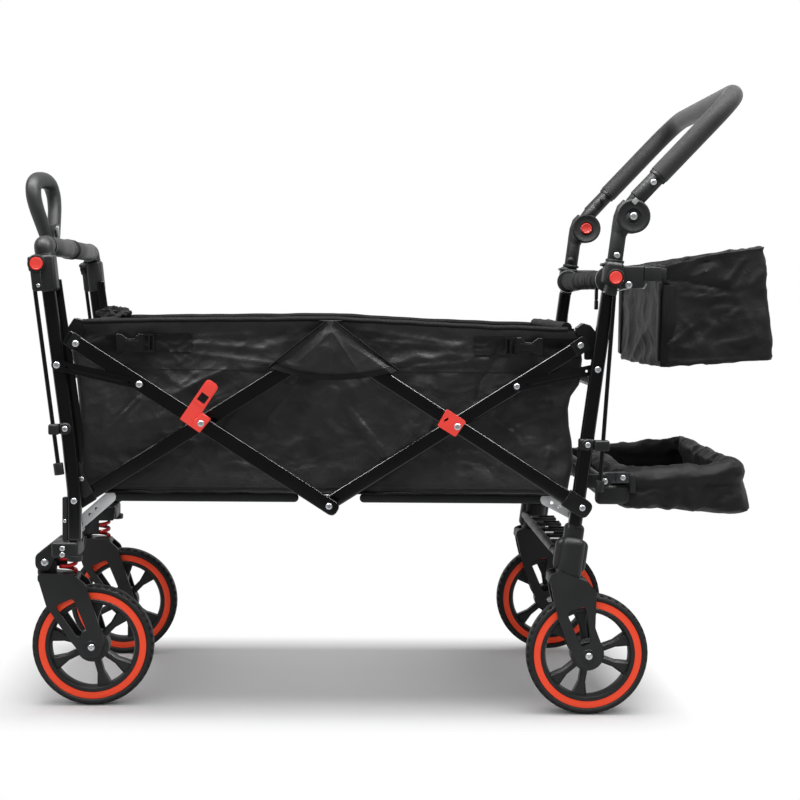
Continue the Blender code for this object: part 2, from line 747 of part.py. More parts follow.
def floor_half(name, hinge_x, towards, panel_x):
    """A floor board on two rails, hinged to its end frame and turning up as the wagon folds."""
    end_x = hinge_x + towards * FLOOR_LENGTH
    start_x = panel_x + towards * 0.010
    top = FLOOR_HEIGHT + RAIL_HEIGHT / 2 + FLOOR_BOARD
    board = block((abs(end_x - start_x), 2 * (FLOOR_HALF_WIDTH - 0.003), FLOOR_BOARD + 0.0005),
                  ((start_x + end_x) / 2, 0.0, top - FLOOR_BOARD / 2 - 0.00025))
    rails = []
    rail_y = FLOOR_HALF_WIDTH - 0.0025 - RAIL_WIDTH / 2
    for side in SIDES.values():
        rail = plate(capsule((hinge_x, FLOOR_HEIGHT),
                             (end_x - towards * (0.012 + RAIL_HEIGHT / 2), FLOOR_HEIGHT),
                             RAIL_HEIGHT / 2),
                     (rail_y - RAIL_WIDTH / 2, rail_y + RAIL_WIDTH / 2), side)
        rails.append(rail)
    for share in (0.34, 0.86):
        x = hinge_x + towards * FLOOR_LENGTH * share
        rails.append(block((0.018, 2 * rail_y, 0.006), (x, 0.0, FLOOR_HEIGHT + 0.004)))
    bores = [across(hinge_x, FLOOR_HEIGHT, side, rail_y - 0.02, FLOOR_HALF_WIDTH + 0.01,
                    PIN_RADIUS + BORE_GAP) for side in SIDES.values()]
    return finish(cut(unite(board, *rails), *bores), name, "board")


# Casters, forks and the rear wheel mounts

def caster_head(side_name, side, x):
    """The swivel head below a front post, with an ear in front that carries the fork."""
    top = FRONT_POST_FOOT - SEAT
    a = FRONT_AXLE_X
    outline = filleted([
        (a - 0.016, top, 0.003), (a - 0.058, top, 0.004), (a - 0.093, 0.250, 0.010),
        (a - 0.092, 0.228, 0.013), (a - 0.072, 0.224, 0.010), (a - 0.058, 0.2535, 0.002),
        (a - 0.019, 0.2535, 0.004),
    ])
    width = (front_wheel_y - 0.0195, front_wheel_y + 0.0195)
    body = plate(outline, width, side)
    reach = block((0.042, post[1] - front_wheel_y + 0.004, top - 0.2535),
                  (a - 0.037, side * (post[1] + front_wheel_y) / 2, (top + 0.2535) / 2))
    slot = block((0.034, 0.0250, 0.040), (a - 0.079, side * front_wheel_y, 0.236))
    stem = rod((x, side * post_y, 0.2535 - 0.01), (x, side * post_y, top + 0.01),
               0.006 + BORE_GAP, 16)
    ear = across(a - 0.077, 0.239, side, front_wheel_y - 0.03, front_wheel_y + 0.03,
                 PIN_RADIUS + BORE_GAP)
    return finish(cut(unite(body, reach), slot, stem, ear), f"caster_head_{side_name}",
                  "black_plastic")


def fork_walls(outline, window, wheel_y, side):
    """Two fork walls with a window in each, either side of a wheel."""
    walls = []
    for low, high in ((-FORK_HALF_WIDTH, -FORK_HALF_WIDTH + FORK_WALL),
                      (FORK_HALF_WIDTH - FORK_WALL, FORK_HALF_WIDTH)):
        walls.append(plate(outline, (wheel_y + low, wheel_y + high), side, [window]))
    return walls


def front_fork(side_name, side):
    a = FRONT_AXLE_X
    top = 0.2262
    outline = filleted([
        (a - 0.090, top - 0.004, 0.006), (a - 0.028, top - 0.008, 0.012),
        (a - 0.010, 0.203, 0.012), (a + 0.011, 0.140, 0.010), (a + 0.021, 0.108, 0.014),
        (a + 0.012, 0.082, 0.016), (a - 0.012, 0.082, 0.016), (a - 0.036, 0.112, 0.010),
        (a - 0.074, 0.168, 0.020),
    ])
    window = filleted([(a - 0.060, 0.168, 0.005), (a - 0.030, 0.181, 0.005),
                       (a - 0.008, 0.128, 0.005), (a - 0.022, 0.113, 0.005)], 1)
    walls = fork_walls(outline, window, front_wheel_y, side)
    crown = block((0.060, 2 * FORK_HALF_WIDTH - FORK_WALL, 0.012),
                  (a - 0.055, side * front_wheel_y, 0.2120))
    axle = across(a, WHEEL_RADIUS, side, front_wheel_y - FORK_HALF_WIDTH - 0.0015,
                  front_wheel_y + FORK_HALF_WIDTH + 0.0015, AXLE_RADIUS)
    tongue = plate(filleted([(a - 0.089, 0.210, 0.002), (a - 0.089, 0.243, 0.008),
                             (a - 0.066, 0.243, 0.008), (a - 0.062, 0.210, 0.002)]),
                   (front_wheel_y - 0.0115, front_wheel_y + 0.0115), side)
    pin = across(a - 0.077, 0.239 - 0.004, side, front_wheel_y - 0.0190, front_wheel_y + 0.0190,
                 PIN_RADIUS)
    pin.location.z += 0.004
    fork = unite(walls[0], walls[1], crown, axle, tongue, pin)
    return finish(fork, f"front_fork_{side_name}", "black_plastic")


def spring(side_name, side):
    """A short red compression spring standing on the fork's crown under the head."""
    low, high = 0.2185 + SPRING_WIRE + 0.0003, 0.2535 - SPRING_WIRE - 0.0004
    centre_x = FRONT_AXLE_X - 0.040
    points = []
    steps = int(SPRING_TURNS * 9)
    for step in range(steps + 1):
        angle = 2 * math.pi * SPRING_TURNS * step / steps
        points.append((centre_x + SPRING_RADIUS * math.cos(angle),
                       side * front_wheel_y + SPRING_RADIUS * math.sin(angle),
                       low + (high - low) * step / steps))
    return finish(tube(points, SPRING_WIRE, resolution=1), f"spring_{side_name}", "red_steel")


def rear_fork(side_name, side):
    """A fixed fork: a collar on the post's foot, a crown and two walls with windows."""
    r = rear_axle_x
    outline = filleted([
        (r - 0.067, 0.232, 0.006), (r - 0.050, 0.238, 0.004), (r - 0.004, 0.222, 0.010),
        (r + 0.011, 0.206, 0.010), (r + 0.010, 0.146, 0.010), (r + 0.024, 0.110, 0.014),
        (r + 0.016, 0.080, 0.016), (r - 0.014, 0.080, 0.016), (r - 0.031, 0.110, 0.014),
        (r - 0.050, 0.158, 0.020), (r - 0.060, 0.198, 0.020),
    ])
    window = filleted([(r - 0.037, 0.171, 0.005), (r - 0.006, 0.182, 0.005),
                       (r + 0.003, 0.120, 0.006), (r - 0.012, 0.113, 0.006)], 1)
    walls = fork_walls(outline, window, rear_wheel_y, side)
    lean = REAR_LEAN
    x_collar = rear_post_x(0.262)
    crown = block((0.062, 2 * FORK_HALF_WIDTH - FORK_WALL, 0.014),
                  (r - 0.034, side * rear_wheel_y, 0.2175))
    collar = soften(block((0.040, 0.048, 0.070), (x_collar, side * post_y, 0.257), lean),
                    0.007)
    bulge = soften(block((0.053, 0.030, 0.052), (x_collar, side * post_y, 0.262), lean), 0.009)
    neck = soften(block((0.031, 0.027, 0.026), (rear_post_x(0.300), side * post_y, 0.300), lean),
                  0.004)
    axle = across(r, WHEEL_RADIUS, side, rear_wheel_y - FORK_HALF_WIDTH - 0.0015,
                  rear_wheel_y + FORK_HALF_WIDTH + 0.0015, AXLE_RADIUS)
    middle = REAR_POST_FOOT + 0.030
    socket_depth = 0.030 + POST_DEPTH / 2 * math.tan(lean) + SEAT
    socket = block((POST_DEPTH + 2 * SEAT, POST_WIDTH + 2 * SEAT, 2 * socket_depth),
                   (rear_post_x(middle), side * post_y, middle), lean)
    body = unite(walls[0], walls[1], crown, collar, bulge, neck, axle)
    bracket = across(r - 0.049, 0.262, side, rear_wheel_y - 0.060, rear_wheel_y - 0.015, 0.0065)
    return finish(cut(unite(body, bracket), socket), f"rear_fork_{side_name}", "black_plastic")


def brake_bar():
    """The foot brake: a bar between the rear forks with two pedal tabs."""
    x, z = rear_axle_x - 0.049, 0.262
    reach = rear_wheel_y - 0.060 - SEAT
    bar = rod((x, -reach, z), (x, reach, z), 0.0075)
    parts = []
    for y in (-0.150, -0.075, 0.0, 0.075, 0.150):
        parts.append(block((0.046, 0.030, 0.006), (x + 0.024, y, z + 0.006)))
    return finish(unite(bar, *parts), "brake_bar", "black_plastic")


# Lock housings and buttons

def housing_block(x_post, lean, overhang, side, grow=0.0):
    """The outer box of a lock housing, which sits on a post's top and leans with it."""
    middle = POST_TOP + SEAT + HOUSING_HEIGHT / 2
    width = housing[1] - housing[0]
    size = (HOUSING_LENGTH + 2 * grow, width + 2 * grow, HOUSING_HEIGHT + 2 * grow)
    return block(size, (x_post(middle) + overhang, side * (housing[0] + housing[1]) / 2, middle),
                 lean)


def housing_bores(x_post, overhang, leg_x, rod_x, button_at, side):
    """Cutters for a housing: a level foot, the leg's and the rod's bores, and the button's pocket."""
    foot = POST_TOP + SEAT
    return (
        block((0.2, 0.1, 0.1), (x_post(foot) + overhang, side * post_y, foot - 0.05)),
        sliding_rod(leg_x, bore_low, bore_high, side, LEG_RADIUS + BORE_GAP, post_y),
        sliding_rod(rod_x, bore_low, bore_high, side, ROD_RADIUS + BORE_GAP),
        across(*button_at, side, housing[1] - pocket_depth, housing[1] + 0.01,
               BUTTON_RADIUS + BORE_GAP, 16),
    )


def front_housing(side_name, side):
    body = soften(housing_block(front_post_x, -FRONT_LEAN, FRONT_OVERHANG, side), 0.004)
    bores = housing_bores(front_post_x, FRONT_OVERHANG, front_leg_x, front_rod_x,
                          (front_button_x, front_button_z), side)
    return finish(cut(body, *bores), f"front_lock_housing_{side_name}", "black_plastic")


def bag_arm(side, grow=0.0):
    """The bar that reaches back from a rear lock housing and carries the bag."""
    root_height = bag_arm_height - 0.004
    start = (rear_post_x(root_height) + REAR_OVERHANG + 0.012, root_height)
    end = (rear_axle_x + 0.112, bag_arm_height)
    return plate(capsule(start, end, 0.0105 + grow),
                 (post_y - 0.009 - grow, post_y + 0.003 + grow), side)


def rear_housing(side_name, side):
    body = soften(housing_block(rear_post_x, REAR_LEAN, REAR_OVERHANG, side), 0.004)
    arm = bag_arm(side)
    bores = housing_bores(rear_post_x, REAR_OVERHANG, rear_leg_x, rear_rod_x,
                          (rear_button_x, rear_button_z), side)
    return finish(cut(unite(body, arm), *bores), f"rear_lock_housing_{side_name}",
                  "black_plastic")


def button(name, side, x, z, outward, face, radius=BUTTON_RADIUS):
    """A domed push button; outward is +1 where it faces away from the middle plane."""
    start = face - outward * (BUTTON_THICK - BUTTON_PROUD)
    end = face + outward * BUTTON_PROUD
    disc = soften(across(x, z, side, start, end, radius, 16), 0.0012)
    return finish(disc, name, "red_plastic")


front_leg_x = rod_line(FRONT_AXLE_X + PULL_BAR_OFFSET, pull_bar_height, -FRONT_ROD_LEAN)
rear_leg_x = rod_line(rear_axle_x + SLEEVE_OFFSET, hinge_height - 0.027, REAR_ROD_LEAN)
front_button_x, front_button_z = FRONT_AXLE_X - 0.0785, POST_TOP + FRONT_BUTTON_RISE
rear_button_x, rear_button_z = rear_axle_x + 0.0325, POST_TOP + REAR_BUTTON_RISE


# Pull frame and grip

def pull_frame():
    x = FRONT_AXLE_X + PULL_BAR_OFFSET
    z = pull_bar_height
    bar = rod((x, -post_y, z), (x, post_y, z), PULL_BAR_RADIUS)
    parts = []
    for side in SIDES.values():
        elbow = ball((x, side * post_y, z), PULL_BAR_RADIUS + 0.003, 10)
        sleeve = sliding_rod(front_leg_x, sleeve_foot, z, side, PULL_BAR_RADIUS + 0.0005, post_y)
        seat = housing_block(front_post_x, -FRONT_LEAN, FRONT_OVERHANG, side, SEAT)
        parts.append(cut(unite(elbow, sleeve), seat))
        parts.append(sliding_rod(front_leg_x, leg_foot, z, side, LEG_RADIUS, post_y))
        top = z + 0.002
        parts.append(sliding_rod(front_rod_x, 0.392, top, side))
        parts.append(rod((front_rod_x(top - 0.005), side * rod_y, top - 0.005),
                         (x, side * (post_y + 0.002), z), 0.006))
        parts.append(sliding_rod(front_rod_x, 0.386, 0.386 + ROD_CAP_LENGTH, side,
                                 ROD_CAP_RADIUS))
        ear = plate(capsule((x, z), (FRONT_AXLE_X + GRIP_PIVOT_OFFSET, z), 0.0090),
                    (GRIP_NECK + PASSING, GRIP_NECK + PASSING + 0.0045), side)
        parts.append(ear)
        parts.append(rod((x, side * 0.150, z), (x, side * 0.155, z), PULL_BAR_RADIUS + 0.003))
    parts.append(across(FRONT_AXLE_X + GRIP_PIVOT_OFFSET, z, 1, -GRIP_NECK - 0.003,
                        GRIP_NECK + 0.003, PIN_RADIUS))
    return finish(unite(bar, *parts), "pull_frame", "black_plastic")


def pull_grip():
    """A teardrop handle: an arch on a neck that hinges in front of the crossbar."""
    pivot = Vector((FRONT_AXLE_X + GRIP_PIVOT_OFFSET, 0.0, pull_bar_height))
    w, h = GRIP_HALF_WIDTH - GRIP_RADIUS, GRIP_HEIGHT
    half = [(0.36, 0.17), (0.62, 0.38), (0.98, 0.62), (0.97, 0.84), (0.56, 0.97)]
    turn = Matrix.Rotation(GRIP_LEAN, 3, "Y") @ Matrix.Rotation(GRIP_TWIST, 3, "Z")
    arch = [(-a, b) for a, b in half] + [(0.0, 1.0)] + [(a, b) for a, b in reversed(half)]
    corners = [pivot + turn @ Vector((0.0, a * w, b * h)) for a, b in arch]
    arch_tube = tube(rounded_path(corners, 0.030, 1), GRIP_RADIUS)
    axis = turn @ Vector((0.0, 0.0, 1.0))
    neck = rod(pivot, pivot + axis * 0.042, GRIP_NECK - 0.001, 12, 0.0195)
    knuckle = across(pivot.x, pivot.z, 1, -GRIP_NECK, GRIP_NECK, 0.0098, 12)
    bore = across(pivot.x, pivot.z, 1, -0.03, 0.03, PIN_RADIUS + BORE_GAP)
    return finish(cut(unite(neck, arch_tube, knuckle), bore), "pull_grip", "black_plastic")


# Push handle

def push_leg(side_name, side):
    """The sleeve above a rear lock housing, its hinge disc and the rod that slides beside the post."""
    hinge = (rear_axle_x + HINGE_OFFSET, hinge_height)
    body = cut(sliding_rod(rear_leg_x, sleeve_foot, hinge_height - 0.014, side, SLEEVE_RADIUS,
                           post_y),
               housing_block(rear_post_x, REAR_LEAN, REAR_OVERHANG, side, SEAT))
    knee_foot = hinge_height - 0.024
    knee = rod((rear_leg_x(knee_foot), side * post_y, knee_foot),
               (hinge[0] - 0.006, side * post_y, hinge[1] + 0.002), SLEEVE_RADIUS + 0.0007)
    half = HINGE_THICK / 2
    disc = across(*hinge, side, post_y + 0.0005, post_y + half, HINGE_RADIUS, 16)
    inner = sliding_rod(rear_leg_x, leg_foot, leg_top, side, LEG_RADIUS, post_y)
    slide = sliding_rod(rear_rod_x, 0.374, leg_top - 0.004, side)
    tie_foot = leg_top - 0.007
    tie = rod((rear_rod_x(tie_foot), side * rod_y, tie_foot),
              (rear_leg_x(leg_top), side * post_y, leg_top), 0.0055)
    cap = sliding_rod(rear_rod_x, 0.368, 0.368 + ROD_CAP_LENGTH, side, ROD_CAP_RADIUS)
    gap = across(*hinge, side, post_y - half - 0.006, post_y + 0.0005, HINGE_RADIUS + 0.002, 16)
    body = unite(cut(unite(body, knee), gap), disc, inner, slide, tie, cap)
    pin = across(*hinge, side, post_y - half + pocket_depth + SEAT, post_y + 0.004, 0.006, 12)
    return finish(unite(body, pin), f"push_leg_{side_name}", "black_plastic")


def handle_point(distance, y=0.0, drop=0.0):
    """A point on the push handle's plane, at a distance from its hinge axis."""
    x = rear_axle_x + HINGE_OFFSET + math.cos(HANDLE_ANGLE) * distance
    x += math.sin(HANDLE_ANGLE) * drop
    z = hinge_height + math.sin(HANDLE_ANGLE) * distance - math.cos(HANDLE_ANGLE) * drop
    return Vector((x, y, z))


def handle_path(start, radius):
    corners = [handle_point(start, -post_y), handle_point(HANDLE_LENGTH, -post_y),
               handle_point(HANDLE_LENGTH, post_y), handle_point(start, post_y)]
    return rounded_path(corners, radius, 5)


def push_handle():
    """The bent tube with its two hinge sleeves; each sleeve ends in the hinge's inner disc."""
    bent = tube(handle_path(0.050, HANDLE_BEND), TUBE_RADIUS)
    parts = []
    hinge = (rear_axle_x + HINGE_OFFSET, hinge_height)
    half = HINGE_THICK / 2
    for side in SIDES.values():
        parts.append(rod(handle_point(0.020, side * post_y), handle_point(HANDLE_SLEEVE,
                         side * post_y), SLEEVE_RADIUS + 0.001))
        parts.append(across(*hinge, side, post_y - half, post_y - 0.0005, HINGE_RADIUS, 16))
    body = unite(bent, *parts)
    gaps = []
    for side in SIDES.values():
        gaps.append(across(*hinge, side, post_y - 0.0005, post_y + half + 0.006,
                           HINGE_RADIUS + 0.002, 16))
        gaps.append(across(*hinge, side, post_y - half + pocket_depth - 0.001, post_y + 0.006,
                           0.006 + BORE_GAP, 12))
        gaps.append(across(*hinge, side, post_y - half - 0.003, post_y - half + pocket_depth,
                           BUTTON_RADIUS + BORE_GAP, 16))
    return finish(cut(body, *gaps), "push_handle", "black_plastic")


def push_grip():
    """The foam sleeve round the handle's bend, bored for the tube."""
    start = HANDLE_SLEEVE + 0.001
    foam = tube(handle_path(start, HANDLE_BEND), FOAM_RADIUS)
    core = tube(handle_path(start - 0.02, HANDLE_BEND), TUBE_RADIUS + SEAT)
    return finish(cut(foam, core), "push_grip", "foam")


def rear_crossbar():
    """The padded bar between the rear lock housings, with a flange at each end."""
    z = POST_TOP + CROSSBAR_RISE
    x = rear_post_x(z)
    reach = housing[0] - SEAT
    foam = rod((x, -reach + 0.004, z), (x, reach - 0.004, z), 0.0155, 16)
    flanges = [across(x, z, side, reach - 0.007, reach, 0.0215, 20) for side in SIDES.values()]
    return finish(unite(foam, *flanges), "rear_crossbar", "foam")


# Bag and tray

def open_box(front_x, length, half_width, bottom, top, wall, floor, rise_back=0.0, flare=0.0):
    """An open-topped soft box whose back edge stands a little higher."""
    def shell(inset, low, high_front, high_back):
        bm = bmesh.new()
        bmesh.ops.create_cube(bm, size=1.0)
        for spot in bm.verts:
            back = spot.co.x > 0
            upper = spot.co.z > 0
            spot.co.x = front_x + (length - inset if back else inset)
            if back and not upper:
                spot.co.x += flare
            spot.co.y = math.copysign(half_width - inset, spot.co.y)
            spot.co.z = (high_back if back else high_front) if upper else low
        return from_bmesh("shell", bm)
    outer = shell(0.0, bottom, top, top + rise_back)
    inner = shell(wall, bottom + floor, top + 0.03, top + rise_back + 0.03)
    return cut(soften(outer, 0.010), inner)


def rear_bag():
    front_x = rear_axle_x + BAG_FRONT
    body = open_box(front_x, BAG_LENGTH, BAG_HALF_WIDTH, bag_bottom, bag_top - 0.008, BAG_WALL,
                    BAG_WALL, 0.016, 0.014)
    lugs = []
    for side in SIDES.values():
        lugs.append(block((0.050, post_y - BAG_HALF_WIDTH - 0.006, 0.020),
                          (front_x + 0.012, side * (BAG_HALF_WIDTH + post_y - 0.0115) / 2,
                           bag_arm_height)))
    arms = [bag_arm(side, SEAT) for side in SIDES.values()]
    return finish(cut(unite(body, *lugs), *arms), "rear_bag", "tub_fabric")


def foot_tray():
    front_x = rear_axle_x + TRAY_FRONT
    body = open_box(front_x, TRAY_LENGTH, TRAY_HALF_WIDTH, TRAY_BOTTOM, TRAY_TOP - 0.010,
                    TRAY_WALL, TRAY_FLOOR, 0.014, 0.006)
    hinge_x = rear_axle_x + TRAY_HINGE_OFFSET
    arms = []
    for side in SIDES.values():
        arm = plate(capsule((hinge_x, TRAY_HINGE_HEIGHT), (front_x + 0.020, TRAY_HINGE_HEIGHT),
                            0.0105), tray_arm, side)
        arms.append(arm)
    arms.append(rod((hinge_x, -tray_arm[1] + 0.002, TRAY_HINGE_HEIGHT),
                    (hinge_x, tray_arm[1] - 0.002, TRAY_HINGE_HEIGHT), 0.0065))
    bores = [across(hinge_x, TRAY_HINGE_HEIGHT, side, tray_arm[0] - 0.004, tray_arm[1] + 0.02,
                    PIN_RADIUS + BORE_GAP) for side in SIDES.values()]
    return finish(cut(unite(body, *arms), *bores), "foot_tray", "tub_fabric")


def build():
    front_frame()
    rear = rear_frame()
    bars = scissor_bars()
    strips = links()
    mouldings = cross_blocks()
    panels = tub_panels()
    floor_front_x = front_pivot_x + FLOOR_HINGE_OFFSET
    floor_rear_x = rear_pivot_x - FLOOR_HINGE_OFFSET
    panel_front = front_pivot_x + TUB_FRONT_INSET
    panel_rear = rear_pivot_x - 0.024
    floor_f = floor_half("floor_front", floor_front_x, 1, panel_front)
    floor_r = floor_half("floor_rear", floor_rear_x, -1, panel_rear)
    fold = hang("fold", (low_front[0], 0.0, low_front[1]),
                [bars["b", name] for name in SIDES])
    cross_f = hang("cross_front", (cross_front[0], 0.0, cross_front[1]),
                   [bars["a", name] for name in SIDES], fold)
    for name in SIDES:
        hang(f"latch_{name}_hinge", (cross_front[0], 0.0, cross_front[1]),
             [mouldings["latch", name]], cross_f)
    low_mid = hang("low_middle", (low_middle[0], 0.0, low_middle[1]),
                   [bars["d", name] for name in SIDES], cross_f)
    cross_r = hang("cross_rear", (cross_rear[0], 0.0, cross_rear[1]),
                   [bars["c", name] for name in SIDES]
                   + [mouldings["clip", name] for name in SIDES], low_mid)
    rear_base = hang("rear_pivot", (low_rear[0], 0.0, low_rear[1]),
                     [rear, panels["rear"], rear_crossbar()], cross_r)
    hang("floor_front_hinge", (floor_front_x, 0.0, FLOOR_HEIGHT), [floor_f])
    hang("floor_rear_hinge", (floor_rear_x, 0.0, FLOOR_HEIGHT), [floor_r], rear_base)
    hang("front_link_hinge", (front_post_x(LINK_POST_HEIGHT), 0.0, LINK_POST_HEIGHT),
         [strips["front", name] for name in SIDES])
    hang("rear_link_hinge", (rear_post_x(LINK_POST_HEIGHT), 0.0, LINK_POST_HEIGHT),
         [strips["rear", name] for name in SIDES], rear_base)

    tyre = as_mesh(make_tyre())
    front_rim = as_mesh(make_rim(math.radians(186)))
    rear_rim = as_mesh(make_rim(math.radians(0)))
    caster_x = front_post_x(FRONT_POST_FOOT)
    pull = hang("pull_slide", (front_leg_x(leg_top - 0.040), 0.0, leg_top - 0.040), [pull_frame()])
    hang("pull_grip_hinge", (FRONT_AXLE_X + GRIP_PIVOT_OFFSET, 0.0, pull_bar_height),
         [pull_grip()], pull)
    push_parts = []
    hinge_buttons = []
    for name, side in SIDES.items():
        front_housing(name, side)
        button_at = (front_button_x, side * housing[1], front_button_z)
        hang(f"front_button_{name}_slide", button_at,
             [button(f"front_button_{name}", side, front_button_x, front_button_z, 1,
                     housing[1])])
        rear_house = rear_housing(name, side)
        rear_house.parent = rear_base
        rear_house.matrix_parent_inverse = rear_base.matrix_world.inverted()
        button_at = (rear_button_x, side * housing[1], rear_button_z)
        hang(f"rear_button_{name}_slide", button_at,
             [button(f"rear_button_{name}", side, rear_button_x, rear_button_z, 1,
                     housing[1])], rear_base)
        swivel = hang(f"caster_{name}_swivel", (caster_x, side * post_y, FRONT_POST_FOOT),
                      [caster_head(name, side, caster_x), spring(name, side)])
        bogie = hang(f"suspension_{name}",
                     (FRONT_AXLE_X - 0.077, side * front_wheel_y, 0.239),
                     [front_fork(name, side)], swivel)
        hang(f"front_wheel_{name}_spin", (FRONT_AXLE_X, side * front_wheel_y, WHEEL_RADIUS),
             wheel(name, "front", tyre.data, front_rim.data,
                   (FRONT_AXLE_X, side * front_wheel_y, WHEEL_RADIUS)), bogie)
        fork = rear_fork(name, side)
        fork.parent = rear_base
        fork.matrix_parent_inverse = rear_base.matrix_world.inverted()
        hang(f"rear_wheel_{name}_spin", (rear_axle_x, side * rear_wheel_y, WHEEL_RADIUS),
             wheel(name, "rear", tyre.data, rear_rim.data,
                   (rear_axle_x, side * rear_wheel_y, WHEEL_RADIUS)), rear_base)
        push_parts.append(push_leg(name, side))
        face = post_y - HINGE_THICK / 2
        hinge_buttons.append((name, button(f"hinge_button_{name}", side,
                                           rear_axle_x + HINGE_OFFSET, hinge_height, -1, face)))
    slide = hang("push_slide", (rear_leg_x(leg_top - 0.040), 0.0, leg_top - 0.040), push_parts, rear_base)
    handle = hang("push_handle_hinge", (rear_axle_x + HINGE_OFFSET, 0.0, hinge_height),
                  [push_handle(), push_grip()], slide)
    for name, disc in hinge_buttons:
        hang(f"hinge_button_{name}_slide",
             (rear_axle_x + HINGE_OFFSET, SIDES[name] * face, hinge_height), [disc], handle)
    hang("brake_hinge", (rear_axle_x - 0.049, 0.0, 0.262), [brake_bar()], rear_base)
    hang("tray_hinge", (rear_axle_x + TRAY_HINGE_OFFSET, 0.0, TRAY_HINGE_HEIGHT),
         [foot_tray()], rear_base)
    bag = rear_bag()
    bag.parent = rear_base
    bag.matrix_parent_inverse = rear_base.matrix_world.inverted()
    for shape in (tyre, front_rim, rear_rim):
        bpy.data.objects.remove(shape)


build()
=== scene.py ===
# The looks of a folding hand-pulled wagon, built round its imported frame.
# Metres, +Z up, +X to the rear, the near side at -Y.

import math

import bmesh
import bpy
import numpy as np
from mathutils import Matrix, Vector, noise


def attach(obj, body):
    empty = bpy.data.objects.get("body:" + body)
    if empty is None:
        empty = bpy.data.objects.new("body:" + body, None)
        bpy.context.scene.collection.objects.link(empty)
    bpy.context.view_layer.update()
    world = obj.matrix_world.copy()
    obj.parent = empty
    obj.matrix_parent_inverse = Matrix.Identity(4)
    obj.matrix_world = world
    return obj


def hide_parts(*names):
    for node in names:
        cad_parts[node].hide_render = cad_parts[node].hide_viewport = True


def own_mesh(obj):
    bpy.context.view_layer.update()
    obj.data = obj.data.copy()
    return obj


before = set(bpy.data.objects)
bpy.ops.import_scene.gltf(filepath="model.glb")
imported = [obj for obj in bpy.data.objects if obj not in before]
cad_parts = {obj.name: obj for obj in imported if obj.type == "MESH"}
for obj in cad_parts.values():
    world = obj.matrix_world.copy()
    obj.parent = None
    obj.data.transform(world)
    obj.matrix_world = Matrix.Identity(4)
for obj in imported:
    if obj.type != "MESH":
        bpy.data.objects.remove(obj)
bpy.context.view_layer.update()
sides = {"left": -1, "right": 1}
noise.seed_set(1)  # so that noise_vector gives the same folds each run

# Lines that the frame gives: axles, pivots, and how the posts and rods lean
frontAxleX, rearAxleX, wheelRadius = -0.496, 0.317, 0.1
frontWheelY, rearWheelY = 0.205, 0.262
pivotLow, pivotHigh, crossHeight = 0.342, 0.6044, 0.47319
frontPivotX, middleX, rearPivotX = -0.518, -0.10773, 0.30255
crossFrontX, crossRearX = -0.31286, 0.09741
frontPostLean, rearPostLean, frontLegLean, rearLegLean = (
    math.radians(angle) for angle in (6.4, 7.2, 7.46, 3.28))
postY, rodY = 0.264, 0.2805
innerBar, outerBar = (0.2395, 0.25), (0.2745, 0.285)
rearLinkLayer, frontLinkLayer = (0.251, 0.254), (0.286, 0.289)
housingLayer = (0.252, 0.2905)
postTop, housingHeight = 0.683, 0.058
tubFront, tubRear, tubFloor = -0.514, 0.2845, 0.36
floorHinges = {"front": frontPivotX + 0.052, "rear": rearPivotX - 0.052}
trayHinge = (0.342, 0.383)
clothFace = 0.238


def frontPostX(z):  # upright at the foot, bent forwards above it
    return float(np.interp(z, (0.28, 0.355, 0.453, 0.69, 0.75),
                           (-0.5182, -0.518, -0.528, -0.5594, -0.5674)))


def rearPostX(z):
    return 0.29755 + math.tan(rearPostLean) * (z - pivotLow)


def frontRodX(z):
    return -0.5764 - math.tan(frontLegLean) * (z - 0.669)


def rearRodX(z):
    return 0.3485 + math.tan(rearLegLean) * (z - 0.6788)


def frontLegX(z):
    return -0.567 - math.tan(frontLegLean) * (z - 0.7565)


def rearLegX(z):
    return 0.351 + math.tan(rearLegLean) * (z - 0.787)


# The camera stands where the photograph was taken from
camera = {"place": (-0.0954, -3.0419, 0.6845), "yaw": 2.0875, "pitch": 3.5223, "roll": 0.621,
          "lens": 77.34}


def placeCamera(setup):
    yaw, pitch, roll = (math.radians(setup[key]) for key in ("yaw", "pitch", "roll"))
    forward = Vector((math.sin(yaw) * math.cos(pitch), math.cos(yaw) * math.cos(pitch),
                      -math.sin(pitch)))
    level = Vector((math.cos(yaw), -math.sin(yaw), 0.0))
    upright = level.cross(forward)
    right = level * math.cos(roll) + upright * math.sin(roll)
    up = upright * math.cos(roll) - level * math.sin(roll)
    data = bpy.data.cameras.new("photo_camera")
    data.lens = setup["lens"]
    data.sensor_width = 36.0
    data.clip_end = 60.0
    seen = bpy.data.objects.new("photo_camera", data)
    bpy.context.scene.collection.objects.link(seen)
    turn = Matrix((right, up, -forward)).transposed().to_4x4()
    seen.matrix_world = Matrix.Translation(setup["place"]) @ turn
    bpy.context.scene.camera = seen


placeCamera(camera)
bpy.context.scene.view_settings.view_transform = "Standard"


# Materials

def hexColour(code):
    shares = [int(code[at:at + 2], 16) / 255 for at in (1, 3, 5)]
    linear = [s / 12.92 if s <= 0.04045 else ((s + 0.055) / 1.055) ** 2.4 for s in shares]
    return (*linear, 1.0)


def addNode(tree, kind, settings=(), links=()):
    node = tree.nodes.new("ShaderNode" + kind)
    for name, value in dict(settings).items():
        if isinstance(name, int) or name in node.inputs:
            node.inputs[name].default_value = value
        else:
            setattr(node, name, value)
    for name, source in dict(links).items():
        tree.links.new(source, node.inputs[name])
    return node


def newMaterial(name, look):
    material = bpy.data.materials.new(name)
    material.use_nodes = True
    tree = material.node_tree
    shader = tree.nodes["Principled BSDF"]
    for socket, value in look.items():
        shader.inputs[socket].default_value = hexColour(value) if str(value)[0] == "#" else value
    spot = addNode(tree, "TexCoord").outputs["Object"]
    return material, tree, shader, spot


